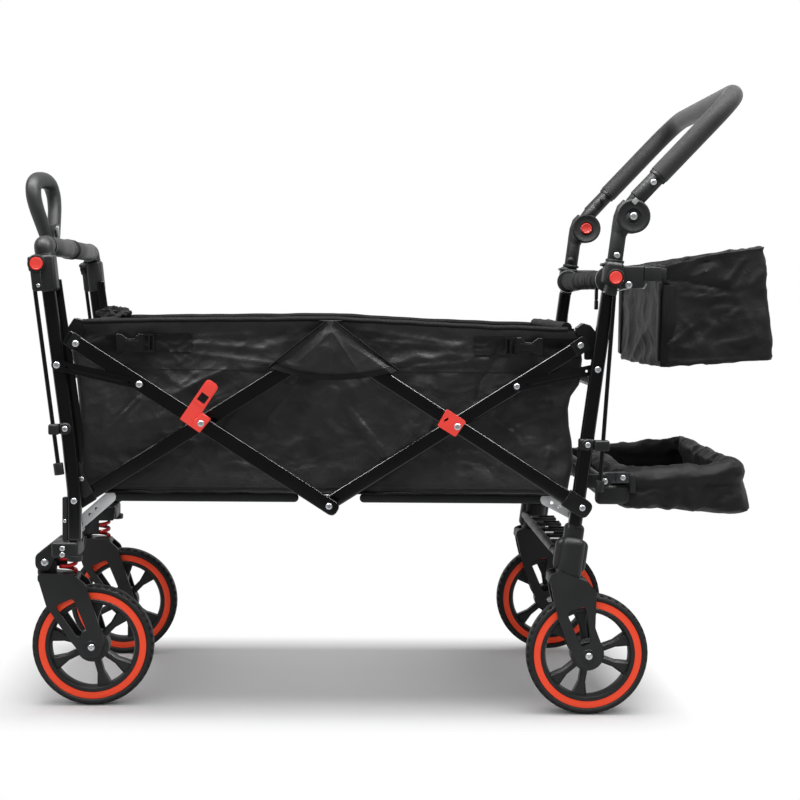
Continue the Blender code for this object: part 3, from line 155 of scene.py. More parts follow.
def ramp(tree, source, low, high, fromLow=0.0, fromHigh=1.0):
    return addNode(tree, "MapRange", {"From Min": fromLow, "From Max": fromHigh,
                                      "To Min": low, "To Max": high}, {"Value": source}).outputs[0]


def tint(tree, shader, source, dark, light):
    blend = addNode(tree, "MixRGB", {"Color1": hexColour(dark), "Color2": hexColour(light)},
                    {"Fac": source})
    tree.links.new(blend.outputs[0], shader.inputs["Base Color"])


def bump(tree, shader, source, strength, depth, under=None):
    links = {"Height": source}
    if under is not None:
        links["Normal"] = under
    node = addNode(tree, "Bump", {"Strength": strength, "Distance": depth}, links)
    tree.links.new(node.outputs[0], shader.inputs["Normal"])
    return node.outputs[0]


def perMetre(millimetres):
    return 1000.0 / millimetres


def grainMaterial(name, look, grain, dark, light, gloss, strength=0.25, depth=0.0002, paintedEdgeHighlight=None):
    material, tree, shader, spot = newMaterial(name, look)
    broad = addNode(tree, "TexNoise", {"Scale": perMetre(60), "Detail": 3.0}, {"Vector": spot})
    fine = addNode(tree, "TexNoise", {"Scale": perMetre(grain), "Detail": 2.0}, {"Vector": spot})
    colour = broad.outputs[0]
    if paintedEdgeHighlight:  # convex edges painted lighter, a painted highlight
        edge = addNode(tree, "NewGeometry").outputs["Pointiness"]
        paintedHighlight = ramp(tree, edge, 0.0, paintedEdgeHighlight, 0.52, 0.6)
        colour = addNode(tree, "Math", {"operation": "ADD", "use_clamp": True},
                         {0: ramp(tree, colour, 0.0, 0.6, 0.3, 0.7), 1: paintedHighlight}).outputs[0]
    tint(tree, shader, colour, dark, light)
    tree.links.new(ramp(tree, broad.outputs[0], gloss[0], gloss[1], 0.3, 0.7),
                   shader.inputs["Roughness"])
    bump(tree, shader, fine.outputs[0], strength, depth)
    return material


# Powder-coated steel tube: deep black gloss with a faint orange peel of 1.6 mm
blackPowderCoat = grainMaterial(
    "black_powder_coated_steel", {"Specular IOR Level": 0.55}, 1.6, "#040405", "#08080A",
    (0.15, 0.22), 0.05)
# Glass-filled nylon from a spark-eroded mould: dark grey with a 1 mm grain, half matt
# Its convex edges are painted lighter as a highlight
mouldedNylon = grainMaterial(
    "moulded_nylon", {"Specular IOR Level": 0.36}, 1.0, "#131415", "#1C1D1E", (0.44, 0.58), 0.35,
    paintedEdgeHighlight=0.5)
# Smooth acetal of buckles and caps: blacker and shinier than the nylon
glossAcetal = grainMaterial(
    "gloss_acetal", {"Specular IOR Level": 0.45}, 2.0, "#0E0E0F", "#161617", (0.26, 0.36), 0.12)
# Through-coloured red ABS of the clips and buttons
redAbs = grainMaterial(
    "red_moulded_abs", {"Specular IOR Level": 0.45}, 1.2, "#E8382E", "#F2473C", (0.3, 0.42), 0.15)
# Orange-red painted ring on the wheel, satin
ringPaint = grainMaterial(
    "orange_red_ring_paint", {"Specular IOR Level": 0.4}, 1.5, "#F04018", "#FA4A20",
    (0.36, 0.48), 0.1)
# Foamed EVA tyre: matt black with a coarse skin
# Its convex edges are painted lighter as a highlight
tyreRubber = grainMaterial(
    "eva_tyre_rubber", {"Specular IOR Level": 0.3}, 1.4, "#151516", "#202021", (0.58, 0.74), 0.45,
    0.0003, paintedEdgeHighlight=0.6)
# Foam rubber sleeve of the push handle: charcoal, matt, with 1.1 mm pores
foamRubber = grainMaterial(
    "nitrile_foam", {"Specular IOR Level": 0.3, "Sheen Weight": 0.25, "Sheen Roughness": 0.45},
    1.1, "#1D1D1E", "#2A2A2B", (0.62, 0.78), 0.55, 0.0004)
# Thermoplastic rubber of the pull grip: soft satin grey
gripRubber = grainMaterial(
    "grip_rubber", {"Specular IOR Level": 0.38}, 1.0, "#252627", "#303132", (0.42, 0.54), 0.25)
# Bright zinc plate on bolts and rings
brightZinc = grainMaterial(
    "bright_zinc_plate", {"Metallic": 0.6}, 0.9, "#B9BCC0", "#D4D6D8", (0.2, 0.34), 0.12)
# Galvanised strap steel of the floor braces
galvanisedSteel = grainMaterial(
    "galvanised_strap_steel", {"Metallic": 0.35}, 2.2, "#C4C6C8", "#D8DADC", (0.36, 0.5), 0.2)
# Red enamelled spring wire
springEnamel = grainMaterial(
    "red_enamelled_spring", {"Specular IOR Level": 0.5}, 1.2, "#A80F14", "#C5191C", (0.22, 0.32),
    0.1)
# Dark anodised aluminium of the tray's brackets
greyAnodised = grainMaterial(
    "grey_anodised_aluminium", {"Metallic": 0.7}, 1.2, "#3C3D3F", "#4E5052", (0.34, 0.44), 0.12)
# Bright pressed plate on the pull grip's hinge
brushedPlate = grainMaterial(
    "brushed_steel_plate", {"Metallic": 1.0}, 0.8, "#8E9093", "#B4B6B8", (0.28, 0.4), 0.2)


def clothMaterial(name, look, dark, light, thread, gloss, crease=0.35):
    material, tree, shader, spot = newMaterial(name, look)
    weave = None
    for axis in ("X", "Y", "Z"):  # warp and weft, whichever way the cloth faces
        wave = addNode(tree, "TexWave", {"bands_direction": axis, "wave_profile": "SIN",
                                         "Scale": math.pi * perMetre(thread) / 10,
                                         "Distortion": 0.0}, {"Vector": spot}).outputs["Fac"]
        weave = wave if weave is None else addNode(
            tree, "Math", {"operation": "MULTIPLY"}, {0: weave, 1: wave}).outputs[0]
    broad = addNode(tree, "TexNoise", {"Scale": perMetre(45), "Detail": 5.0, "Distortion": 0.8},
                    {"Vector": spot}).outputs[0]
    crumple = addNode(tree, "TexNoise", {"Scale": perMetre(16), "Detail": 4.0, "Distortion": 1.6},
                      {"Vector": spot}).outputs[0]
    tint(tree, shader, ramp(tree, broad, 0.0, 1.0, 0.32, 0.68), dark, light)
    tree.links.new(ramp(tree, broad, gloss[0], gloss[1], 0.3, 0.7), shader.inputs["Roughness"])
    under = bump(tree, shader, crumple, crease, 0.0018)
    bump(tree, shader, weave, 0.35, 0.00025, under)
    return material


# Coated 600D Oxford polyester: threads 0.6 mm apart, drawn at 1.2 mm so that they show
tubOxford = clothMaterial(
    "coated_oxford_polyester", {"Specular IOR Level": 0.3, "Sheen Weight": 0.12,
                                "Sheen Roughness": 0.4}, "#1A191A", "#232223", 1.2, (0.5, 0.64))
# The same cloth on the bag and the tray, a little blacker
bagOxford = clothMaterial(
    "bag_oxford_polyester", {"Specular IOR Level": 0.16, "Sheen Weight": 0.06,
                             "Sheen Roughness": 0.4}, "#151516", "#1F1F20", 1.2, (0.54, 0.68), 0.5)
# Folded binding tape along the hems: twill, flatter and darker than the cloth
bindingTape = clothMaterial(
    "twill_binding_tape", {"Specular IOR Level": 0.12}, "#0A0A0B", "#101011",
    1.6, (0.6, 0.72), 0.15)
# Polypropylene webbing: ribs drawn 2.8 mm apart
strapWebbing = clothMaterial(
    "polypropylene_webbing", {"Specular IOR Level": 0.22}, "#0A0A0B", "#111112", 2.8,
    (0.48, 0.62), 0.12)


# Shapes: each returns a bmesh with its faces outwards

def finished(shape):
    bmesh.ops.remove_doubles(shape, verts=shape.verts, dist=0.00001)
    bmesh.ops.recalc_face_normals(shape, faces=shape.faces)
    return shape


def roundEdges(shape, width, segments=2, sharper=40):
    if width <= 0:
        return shape
    edges = [edge for edge in shape.edges if len(edge.link_faces) == 2
             and edge.calc_face_angle() > math.radians(sharper)]
    bmesh.ops.bevel(shape, geom=edges, offset=width, affect="EDGES", segments=segments,
                    profile=0.5, material=-1, clamp_overlap=True)
    return finished(shape)


def joined(shapes):
    whole = bmesh.new()
    for shape in shapes:
        holder = bpy.data.meshes.new("holder")
        shape.to_mesh(holder)
        shape.free()
        whole.from_mesh(holder)
        bpy.data.meshes.remove(holder)
    return whole


def turned(shape, matrix):
    bmesh.ops.transform(shape, matrix=matrix, verts=shape.verts)
    return shape


def box(size, centre, lean=0.0, edge=0.002, segments=2):
    shape = bmesh.new()
    bmesh.ops.create_cube(shape, size=1.0)
    bmesh.ops.scale(shape, vec=size, verts=shape.verts)
    roundEdges(shape, edge, segments)
    return turned(shape, Matrix.Translation(centre) @ Matrix.Rotation(lean, 4, "Y"))


def rod(start, end, radius, tip=None, sides=24, edge=0.0):
    start, end = Vector(start), Vector(end)
    shape = bmesh.new()
    bmesh.ops.create_cone(shape, cap_ends=True, segments=sides, radius1=radius,
                          radius2=radius if tip is None else tip, depth=(end - start).length)
    roundEdges(shape, edge, 2, 60)
    turn = (end - start).to_track_quat("Z", "Y").to_matrix().to_4x4()
    return turned(shape, Matrix.Translation((start + end) / 2) @ turn)


def across(x, z, side, near, far, radius, tip=None, sides=32, edge=0.0):
    return rod((x, side * near, z), (x, side * far, z), radius, tip, sides, edge)


# A rod along one of the leaning lines, from one height to another
def leaning(lineX, y, low, high, radius, **more):
    return rod((lineX(low), y, low), (lineX(high), y, high), radius, **more)


def lathe(profile, centre=(0, 0, 0), steps=64):
    shape = bmesh.new()
    spots = [shape.verts.new((radius, along, 0.0)) for radius, along in profile]
    edges = [shape.edges.new(pair) for pair in zip(spots, spots[1:] + spots[:1])]
    bmesh.ops.spin(shape, geom=spots + edges, axis=(0, 1, 0), cent=(0, 0, 0), steps=steps,
                   angle=2 * math.pi, use_merge=True)
    return turned(finished(shape), Matrix.Translation(centre))


def sweep(points, radius, sides=16, shares=None, flat=1.0, normal=None):
    points = [Vector(point) for point in points]
    shape = bmesh.new()
    ring = bmesh.ops.create_circle(shape, cap_ends=True, segments=sides, radius=1.0)["verts"]
    edges = [edge for edge in shape.edges]
    heading = None
    last = None
    for index, point in enumerate(points):
        before, after = points[max(index - 1, 0)], points[min(index + 1, len(points) - 1)]
        along = (after - before).normalized()
        if heading is None:
            turn = along.to_track_quat("Z", "Y").to_matrix()
            if normal is not None:
                upright = Vector(normal)
                level = upright.cross(along).normalized()
                turn = Matrix((level, along.cross(level), along)).transposed()
        else:
            turn = heading[0].rotation_difference(along).to_matrix() @ heading[1]
        heading = (along, turn)
        share = shares[index] if shares else 1.0
        place = Matrix.Translation(point) @ turn.to_4x4() @ Matrix.Diagonal(
            (radius * share, radius * share * flat, radius * share, 1.0))
        if last is not None:
            grown = bmesh.ops.extrude_edge_only(shape, edges=edges)["geom"]
            ring = [item for item in grown if isinstance(item, bmesh.types.BMVert)]
            edges = [item for item in grown if isinstance(item, bmesh.types.BMEdge)
                     and all(spot in ring for spot in item.verts)]
            bmesh.ops.transform(shape, matrix=place @ last.inverted(), verts=ring)
        else:
            bmesh.ops.transform(shape, matrix=place, verts=ring)
        last = place
    bmesh.ops.edgeloop_fill(shape, edges=edges)
    return finished(shape)


def arc(centre, radius, first, last, count):
    steps = [math.radians(first + (last - first) * step / count) for step in range(count + 1)]
    return [(centre[0] + radius * math.cos(a), centre[1] + radius * math.sin(a)) for a in steps]


def capsule(start, end, radius, count=14):
    along = math.degrees(math.atan2(end[1] - start[1], end[0] - start[0]))
    return (arc(end, radius, along - 90, along + 90, count)
            + arc(start, radius, along + 90, along + 270, count))


def filleted(corners, count=6):
    points = []
    for index, (x, z, radius) in enumerate(corners):
        here = Vector((x, z))
        before = Vector(corners[index - 1][:2]) - here
        after = Vector(corners[(index + 1) % len(corners)][:2]) - here
        reach = min(radius / math.tan(before.angle(after) / 2), 0.46 * before.length,
                    0.46 * after.length)
        start, end = here + before.normalized() * reach, here + after.normalized() * reach
        for step in range(count + 1):
            share = step / count
            spot = start * (1 - share) ** 2 + here * 2 * share * (1 - share) + end * share ** 2
            points.append((spot.x, spot.y))
    return points


# An outline of x, z and rounding in millimetres, drawn from a point in metres
def offsets(centre, outline, count=4, towards=1):
    return filleted([(centre[0] + towards * x / 1000, centre[1] + z / 1000, radius / 1000)
                     for x, z, radius in outline], count)


def roundedPath(corners, radius, count=10):
    corners = [Vector(corner) for corner in corners]
    points = [corners[0]]
    for before, here, after in zip(corners, corners[1:], corners[2:]):
        back, onward = before - here, after - here
        reach = min(radius, 0.48 * back.length, 0.48 * onward.length)
        start, end = here + back.normalized() * reach, here + onward.normalized() * reach
        for step in range(count + 1):
            share = step / count
            points.append(start * (1 - share) ** 2 + here * 2 * share * (1 - share)
                          + end * share ** 2)
    return points + [corners[-1]]


def plate(outline, near, far, side, edge=0.001, windows=(), segments=2):
    shape = bmesh.new()
    edges = []
    for run in (outline, *windows):
        spots = [shape.verts.new((x, side * near, z)) for x, z in run]
        edges += [shape.edges.new(pair) for pair in zip(spots, spots[1:] + spots[:1])]
    if windows:
        bmesh.ops.triangle_fill(shape, use_beauty=True, use_dissolve=False, edges=edges)
    else:
        shape.faces.new(shape.verts)
    grown = bmesh.ops.extrude_face_region(shape, geom=shape.faces[:])["geom"]
    moved = [item for item in grown if isinstance(item, bmesh.types.BMVert)]
    bmesh.ops.translate(shape, vec=(0, side * (far - near), 0), verts=moved)
    finished(shape)
    return roundEdges(shape, edge, segments, 50)


def bolt(x, z, side, face, radius=0.0055, height=0.003):
    profile = [(0.0, -0.001), (radius, -0.001), (radius, height * 0.35),
               (radius * 0.9, height * 0.72), (radius * 0.62, height), (radius * 0.42, height),
               (radius * 0.34, height * 0.45), (0.0, height * 0.45)]
    return lathe([(r, side * (face + y)) for r, y in profile], (x, 0.0, z), 20)


def link(name, shape, material):
    mesh = bpy.data.meshes.new(name)
    shape.to_mesh(mesh)
    shape.free()
    piece = bpy.data.objects.new(name, mesh)
    bpy.context.scene.collection.objects.link(piece)
    mesh.materials.append(material)
    return piece


slots = {"black_steel": (blackPowderCoat, brightZinc, galvanisedSteel, greyAnodised, brushedPlate),
         "black_plastic": (mouldedNylon, glossAcetal, gripRubber), "foam": (foamRubber,),
         "red_plastic": (redAbs, ringPaint), "red_steel": (springEnamel,),
         "tyre_rubber": (tyreRubber,),
         "tub_fabric": (tubOxford, bagOxford, bindingTape, strapWebbing)}
materialSlots = {material.name: slot for slot, group in slots.items() for material in group}


def makePiece(name, shapes, body, material, replaces=(), smooth=40, slot=None):
    whole = joined(shapes) if isinstance(shapes, (list, tuple)) else shapes
    slot = slot or materialSlots[material.name]
    piece = link(name, whole, material)
    piece.data.shade_smooth()
    piece.data.set_sharp_from_angle(angle=math.radians(smooth))
    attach(piece, body)
    if replaces:
        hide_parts(*replaces)
    return piece


# Wheels: foamed tyre with shoulder blocks, orange-red ring, six-spoke rim
wheelPlan = {"tyreHalf": 0.017, "ringInner": 0.0775, "ringOuter": 0.0885, "barrel": 0.07,
             "hub": 0.027, "steps": 96}


def tyreShape(plan):
    half, inner, outer = plan["tyreHalf"], plan["ringInner"], plan["ringOuter"]
    right = [(inner, 0.0135), (outer, 0.0137), (outer + 0.001, 0.0158), (0.0925, half),
             (0.0955, 0.016), (0.0985, 0.0128), (0.0997, 0.008), (wheelRadius, 0.003)]
    shape = lathe(right + [(r, -y) for r, y in reversed(right)], steps=plan["steps"])
    shoulder = []
    for face in shape.faces:
        spot = face.calc_center_median()
        radius = math.hypot(spot.x, spot.z)
        turn = math.degrees(math.atan2(spot.z, spot.x)) % 360
        if 0.0955 < radius < 0.0995 and abs(spot.y) > 0.009:
            if int(turn / (360 / plan["steps"])) % 2 == (spot.y > 0):
                shoulder.append(face)
    bmesh.ops.inset_individual(shape, faces=shoulder, thickness=0.0007, depth=-0.0011)
    return shape


def ringShape(plan):
    shapes = []
    for side in (-1, 1):
        profile = [(plan["ringInner"] - 0.0002, 0.012), (plan["ringInner"], 0.0148),
                   (plan["ringInner"] + 0.0006, 0.0153), (plan["ringOuter"] - 0.0008, 0.0156),
                   (plan["ringOuter"], 0.015), (plan["ringOuter"], 0.012)]
        shapes.append(lathe([(r, side * y) for r, y in profile], steps=plan["steps"]))
    return shapes


def spokeShape(plan, angle):
    root, knee, end = plan["hub"] - 0.006, 0.047, plan["barrel"] + 0.004
    narrow, wide = 0.0056, 0.0132
    outline = [(root, -narrow), (knee, -narrow), (knee + 0.004, -narrow - 0.0012), (end, -wide),
               (end, wide), (knee + 0.004, narrow + 0.0012), (knee, narrow), (root, narrow)]
    return turned(plate(outline, -0.0095, 0.0095, 1, 0.003, (), 1), Matrix.Rotation(-angle, 4, "Y"))


def rimShapes(plan, phase):
    barrel = lathe([(plan["barrel"], -0.0128), (plan["barrel"] + 0.0016, -0.0152),
                    (plan["ringInner"] - 0.0012, -0.0158), (plan["ringInner"], -0.0148),
                    (plan["ringInner"], 0.0148), (plan["ringInner"] - 0.0012, 0.0158),
                    (plan["barrel"] + 0.0016, 0.0152), (plan["barrel"], 0.0128),
                    (plan["barrel"] - 0.0022, 0.003), (plan["barrel"] - 0.0022, -0.003)],
                   steps=plan["steps"])
    hub = lathe([(0.0055, -0.0195), (0.013, -0.0195), (0.0142, -0.0178), (0.0205, -0.0176),
                 (0.0225, -0.016), (plan["hub"], -0.0135), (plan["hub"], 0.0135), (0.0225, 0.016),
                 (0.0205, 0.0176), (0.0142, 0.0178), (0.013, 0.0195), (0.0055, 0.0195)], steps=48)
    spokes = [spokeShape(plan, phase + math.radians(120 * third + offset))
              for third in range(3) for offset in (20.5, -20.5)]
    return [barrel, hub, *spokes]


for end, axleX, wheelY, phase in (("front", frontAxleX, frontWheelY, math.radians(186)),
                                  ("rear", rearAxleX, rearWheelY, 0.0)):
    for name, side in sides.items():
        centre = Matrix.Translation((axleX, side * wheelY, wheelRadius))
        body = f"{end}_wheel_{name}"
        makePiece(f"{end}_wheel_tyre_{name}", turned(tyreShape(wheelPlan), centre), body,
                  tyreRubber, (f"{end}_tyre_{name}",), 50)
        makePiece(f"{end}_wheel_rim_{name}",
                  [turned(shape, centre) for shape in rimShapes(wheelPlan, phase)], body,
                  mouldedNylon, (f"{end}_rim_{name}",), 30)
        makePiece(f"{end}_wheel_ring_{name}",
                  [turned(shape, centre) for shape in ringShape(wheelPlan)], body, ringPaint, (),
                  40)
print("wheels made")


# Scissor bars: flat-sided tubes with rolled edges, glossy, with moulded ends
barPlan = {"half": 0.012, "edge": 0.0036, "round": 0.0115}
lowFront, lowMiddle, lowRear = (frontPivotX, pivotLow), (middleX, pivotLow), (rearPivotX, pivotLow)
highFront, highMiddle = (frontPivotX, pivotHigh), (middleX, pivotHigh)
highRear = (rearPivotX, pivotHigh)
crossFront, crossRear = (crossFrontX, crossHeight), (crossRearX, crossHeight)


def onLine(start, end, along, aside=0.0):
    run = (Vector(end) - Vector(start)).normalized()
    spot = Vector(start) + run * along + Vector((-run.y, run.x)) * aside
    return spot.x, spot.y


# The outline of a bar: how far it runs past each point, and how round each end is
def strip(start, end, tips, half, radii):
    reach = (Vector(end) - Vector(start)).length + tips[1]
    return filleted([(*onLine(start, end, -tips[0], -half), radii[0]),
                     (*onLine(start, end, reach, -half), radii[1]),
                     (*onLine(start, end, reach, half), radii[1]),
                     (*onLine(start, end, -tips[0], half), radii[0])], 8)


for name, side in sides.items():
    rounded, squared = barPlan["round"], 0.0022
    bars = {"a": (highFront, lowMiddle, outerBar, (0.0125, 0.016), (squared, rounded)),
            "b": (lowFront, highMiddle, innerBar, (0.013, 0.014), (squared, rounded)),
            "c": (lowRear, highMiddle, outerBar, (0.012, 0.014), (rounded, rounded)),
            "d": (lowMiddle, highRear, innerBar, (0.016, 0.0105), (rounded, 0.006))}
    for letter, (start, end, layer, tips, radii) in bars.items():
        outline = strip(start, end, tips, barPlan["half"], radii)
        makePiece(f"scissor_bar_{letter}_{name}",
                  plate(outline, *layer, side, barPlan["edge"], (), 4),
                  f"bars_{letter}", blackPowderCoat, (f"bar_{letter}_{name}",), 50)
    caps = {"a": (highFront, onLine(highFront, lowMiddle, -0.006), (0.0075, 0.0), 0.0126,
                  (0.002, 0.0006), outerBar, 0.0014),
            "b": (lowFront, onLine(lowFront, highMiddle, 0.03), (0.0135, 0.0), 0.014,
                  (0.006, 0.002), innerBar, 0.0016),
            "c": (lowRear, onLine(lowRear, highMiddle, 0.031), (0.015, 0.0), 0.015,
                  (0.013, 0.002), outerBar, 0.0024),
            "d": (highRear, onLine(highRear, lowMiddle, 0.016), (0.0108, 0.0), 0.0124,
                  (0.0064, 0.001), innerBar, 0.0014)}
    for letter, (start, end, tips, half, radii, layer, edge) in caps.items():
        outline = strip(start, end, tips, half, radii)
        near = layer[0] + (0.0002 if letter in "bd" else -0.0006)
        makePiece(f"bar_{letter}_end_cap_{name}",
                  [plate(outline, near, layer[1] + 0.0006, side, edge, (), 3)],
                  f"bars_{letter}", glossAcetal)
    for letter, spots in (("a", (crossFront, lowMiddle)), ("c", (crossRear, highMiddle))):
        spacers = [across(*spot, side, innerBar[1] + 0.0004, outerBar[0] + 0.001, 0.0068,
                          edge=0.0008) for spot in spots]
        makePiece(f"bar_{letter}_spacers_{name}", spacers, f"bars_{letter}", glossAcetal)
    face = outerBar[1]
    bolts = {"a": [bolt(*onLine(highFront, lowMiddle, 0.006, -0.001), side, face + 0.0004),
                   bolt(*lowMiddle, side, face)],
             "c": [bolt(*highMiddle, side, face, 0.005, 0.001)],
             "d": [bolt(*onLine(highRear, lowMiddle, 0.002, -0.001), side,
                        innerBar[1] + 0.0004, 0.0052, 0.003)]}
    for letter, shapes in bolts.items():
        makePiece(f"bar_{letter}_bolts_{name}", shapes, f"bars_{letter}", brightZinc)
print("scissor bars made")


# Links between the posts and the upper bars: pressed strips with a rib and a hole near each end
linkPlan = {"width": 0.0085, "reach": 0.2587, "rib": 0.003, "postHeight": 0.566,
            "holeInset": 0.016, "ribInset": 0.026}


def linkShapes(start, end, layer, side, plan):
    run = (Vector(end) - Vector(start)).normalized()

    def inset(aside):
        return tuple(Vector(start) + run * aside), tuple(Vector(end) - run * aside)

    holes = [arc(spot, 0.0022, 0, 330, 11) for spot in inset(plan["holeInset"])]
    return [plate(capsule(start, end, plan["width"]), *layer, side, 0.0009, holes),
            plate(capsule(*inset(plan["ribInset"]), plan["rib"]), layer[1] - 0.0008,
                  layer[1] + 0.0007, side, 0.0006)]


for name, side in sides.items():
    height = linkPlan["postHeight"]
    for end, postX, high, layer in (("front", frontPostX, highFront, frontLinkLayer),
                                    ("rear", rearPostX, highRear, rearLinkLayer)):
        far = tuple(Vector(high).lerp(Vector(lowMiddle), linkPlan["reach"]))
        near = (postX(height), height)
        makePiece(f"{end}_link_strip_{name}", linkShapes(near, far, layer, side, linkPlan),
                  f"{end}_links", blackPowderCoat, (f"{end}_link_{name}",))
        if end == "front":
            bolts = [bolt(*near, side, layer[1]), bolt(*far, side, layer[1])]
            makePiece(f"front_link_bolts_{name}", bolts, "front_links", brightZinc)
        else:
            makePiece(f"rear_link_pivot_{name}",
                      [across(*far, side, innerBar[0] - 0.001, layer[1] + 0.0006, 0.004)],
                      "rear_links", glossAcetal)
            makePiece(f"rear_link_bolt_{name}", [bolt(*far, side, layer[1], 0.0052, 0.0028)],
                      "rear_links", brightZinc)


# Posts, cross tubes and their fittings
postPlan = {"depth": 0.0226, "width": 0.018, "bends": (0.348, 0.362, 0.44, 0.466),
            "edge": 0.0055, "crossRadius": 0.009, "clipHeight": 0.02}


def postShape(postX, foot, side, plan):
    half, aside = plan["depth"] / 2, plan["width"] / 2
    levels = [foot, *plan["bends"], postTop + 0.012]
    outline = ([(postX(z) - half, z) for z in levels]
               + [(postX(z) + half, z) for z in reversed(levels)])
    return plate(outline, postY - aside, postY + aside, side, plan["edge"], (), 6)


def crossTube(postX, z, radius):
    return rod((postX(z), -postY + 0.004, z), (postX(z), postY - 0.004, z), radius, sides=28)


def clipShapes(postX, rodX, z, side, plan, wrap, tip):
    xPost, xRod = postX(z), rodX(z)
    towards = 1 if xRod > xPost else -1
    inner, outer = xPost - towards * wrap, xPost + towards * 0.015
    band = box((abs(outer - inner) - 0.004, 0.0235, plan["clipHeight"] - 0.002),
               ((inner + outer) / 2, side * (postY + 0.0012), z), 0.0, 0.003, 3)
    tongueEnd = xRod + towards * tip
    tongue = box((abs(tongueEnd - outer) + 0.004, 0.02, plan["clipHeight"] - 0.003),
                 ((tongueEnd + outer) / 2 - towards * 0.002, side * (rodY - 0.0035), z - 0.001),
                 0.0, 0.003, 3)
    xPost += towards * 0.0018 if wrap < 0.01 else 0.0
    boss = across(xPost, z, side, postY + 0.01, postY + 0.0175, 0.0102, 0.0092, edge=0.0016)
    return [band, tongue, boss], (xPost, z)


def braceShape(postX, foot, hingeX, side):
    near = 0.2275
    start, end = (postX(foot), foot), (hingeX, 0.348)
    run = (Vector(end) - Vector(start)).normalized()
    holes = [arc(tuple(Vector(start) + run * reach), 0.003, 0, 330, 11) for reach in (0.026, 0.04)]
    return plate(capsule(start, end, 0.0095), near, near + 0.0025, side, 0.0007, holes)


frames = {"front": {"postX": frontPostX, "rodX": frontRodX, "foot": 0.28, "clip": 0.4635,
                    "grasp": (0.0075, 0.0078), "tubes": (0.302, 0.545), "brace": 0.302},
          "rear": {"postX": rearPostX, "rodX": rearRodX, "foot": 0.296, "clip": 0.444,
                   "grasp": (0.0145, 0.0105), "tubes": (0.325, 0.545), "brace": 0.325}}
hingeLug = [(-522, 412, 2), (-512, 409, 4), (-502, 381, 6), (-489, 359, 3), (-503, 348, 3),
            (-520, 356, 2)]
stayFront, stayRear = 0.006, ((0.703, 0.0205), (0.453, 0.0225), (0.405, 0.019))
for end, plan in frames.items():
    body, postX = f"{end}_frame", plan["postX"]
    tubes = [postShape(postX, plan["foot"], side, postPlan) for side in sides.values()]
    tubes += [crossTube(postX, z, postPlan["crossRadius"]) for z in plan["tubes"]]
    if end == "front":
        foot = postX(plan["foot"])
        tubes += [rod((foot, side * postY, 0.284), (foot, side * postY, 0.258), 0.006)
                  for side in sides.values()]
    makePiece(f"{end}_posts", tubes, body, blackPowderCoat, (f"{end}_frame_tube",), 35)
    clips, bolts, pads = [], [], []
    for side in sides.values():
        shapes, spot = clipShapes(postX, plan["rodX"], plan["clip"], side, postPlan, *plan["grasp"])
        clips += shapes
        bolts.append(bolt(*spot, side, postY + 0.0175, 0.0048, 0.0026))
        height = linkPlan["postHeight"]
        if end == "front":
            bolts.append(bolt(postX(0.3465), 0.3465, side, 0.273, 0.0052, 0.0028))
            pads.append(across(postX(height), height, side, 0.272, frontLinkLayer[0], 0.0062))
            pads.append(box((0.0085, 0.0125, 0.071), (postX(0.3165) - 0.015, side * postY, 0.3165),
                            0.0, 0.002, 2))
            for z in (0.298, 0.334):
                pads.append(box((0.012, 0.01, 0.008), (postX(z) - 0.0115, side * postY, z), 0.0,
                                0.0015))
            pads.append(plate(offsets((0, 0), hingeLug, 6), 0.2504, 0.256, side, 0.0012))
            bolts.append(bolt(-0.508, 0.3803, side, 0.256, 0.0036, 0.002))
            bolts.append(bolt(postX(0.3165) - 0.015, 0.3135, side, postY + 0.0062, 0.003, 0.0016))
        else:
            bolts.append(bolt(postX(height), height, side, 0.273, 0.0052, 0.0028))
            bolts.append(bolt(*lowRear, side, outerBar[1] + 0.0008, 0.0052, 0.0028))
            pads.append(across(*lowRear, side, 0.272, outerBar[0] - 0.001, 0.0068))
            pads.append(plate(capsule((postX(trayHinge[1]), trayHinge[1]), trayHinge, 0.011),
                              0.2558, 0.2622, side, 0.0012))
            pads.append(across(*trayHinge, side, 0.219, 0.26, 0.006))
            bolts.append(bolt(*trayHinge, side, 0.2622, 0.005, 0.0026))
    if end == "front":  # flat stays behind the posts, which the end panel is buttoned to
        stays = []
        for side in sides.values():
            edges = [(postX(z) + stayFront, z) for z, aside in reversed(stayRear)]
            edges += [(postX(z) + aside, z) for z, aside in stayRear]
            stays.append(plate(edges, 0.2504, 0.2556, side, 0.0014, (), 3))
        makePiece("front_post_stays", stays, body, blackPowderCoat)
    makePiece(f"{end}_post_clips", clips + pads, body, mouldedNylon)
    makePiece(f"{end}_post_bolts", bolts, body, brightZinc)
    braces = [braceShape(postX, plan["brace"], floorHinges[end], side) for side in sides.values()]
    makePiece(f"{end}_brace_straps", braces, body, galvanisedSteel)
print("end frames made")


# Lock housings on the posts, with their push buttons
housingPlan = {"front": {"postX": frontPostX, "lean": -frontPostLean, "guided": True,
                         "button": (-0.5745, 0.727)},
               "rear": {"postX": rearPostX, "lean": rearPostLean, "guided": False,
                        "button": (0.3495, 0.715)}}


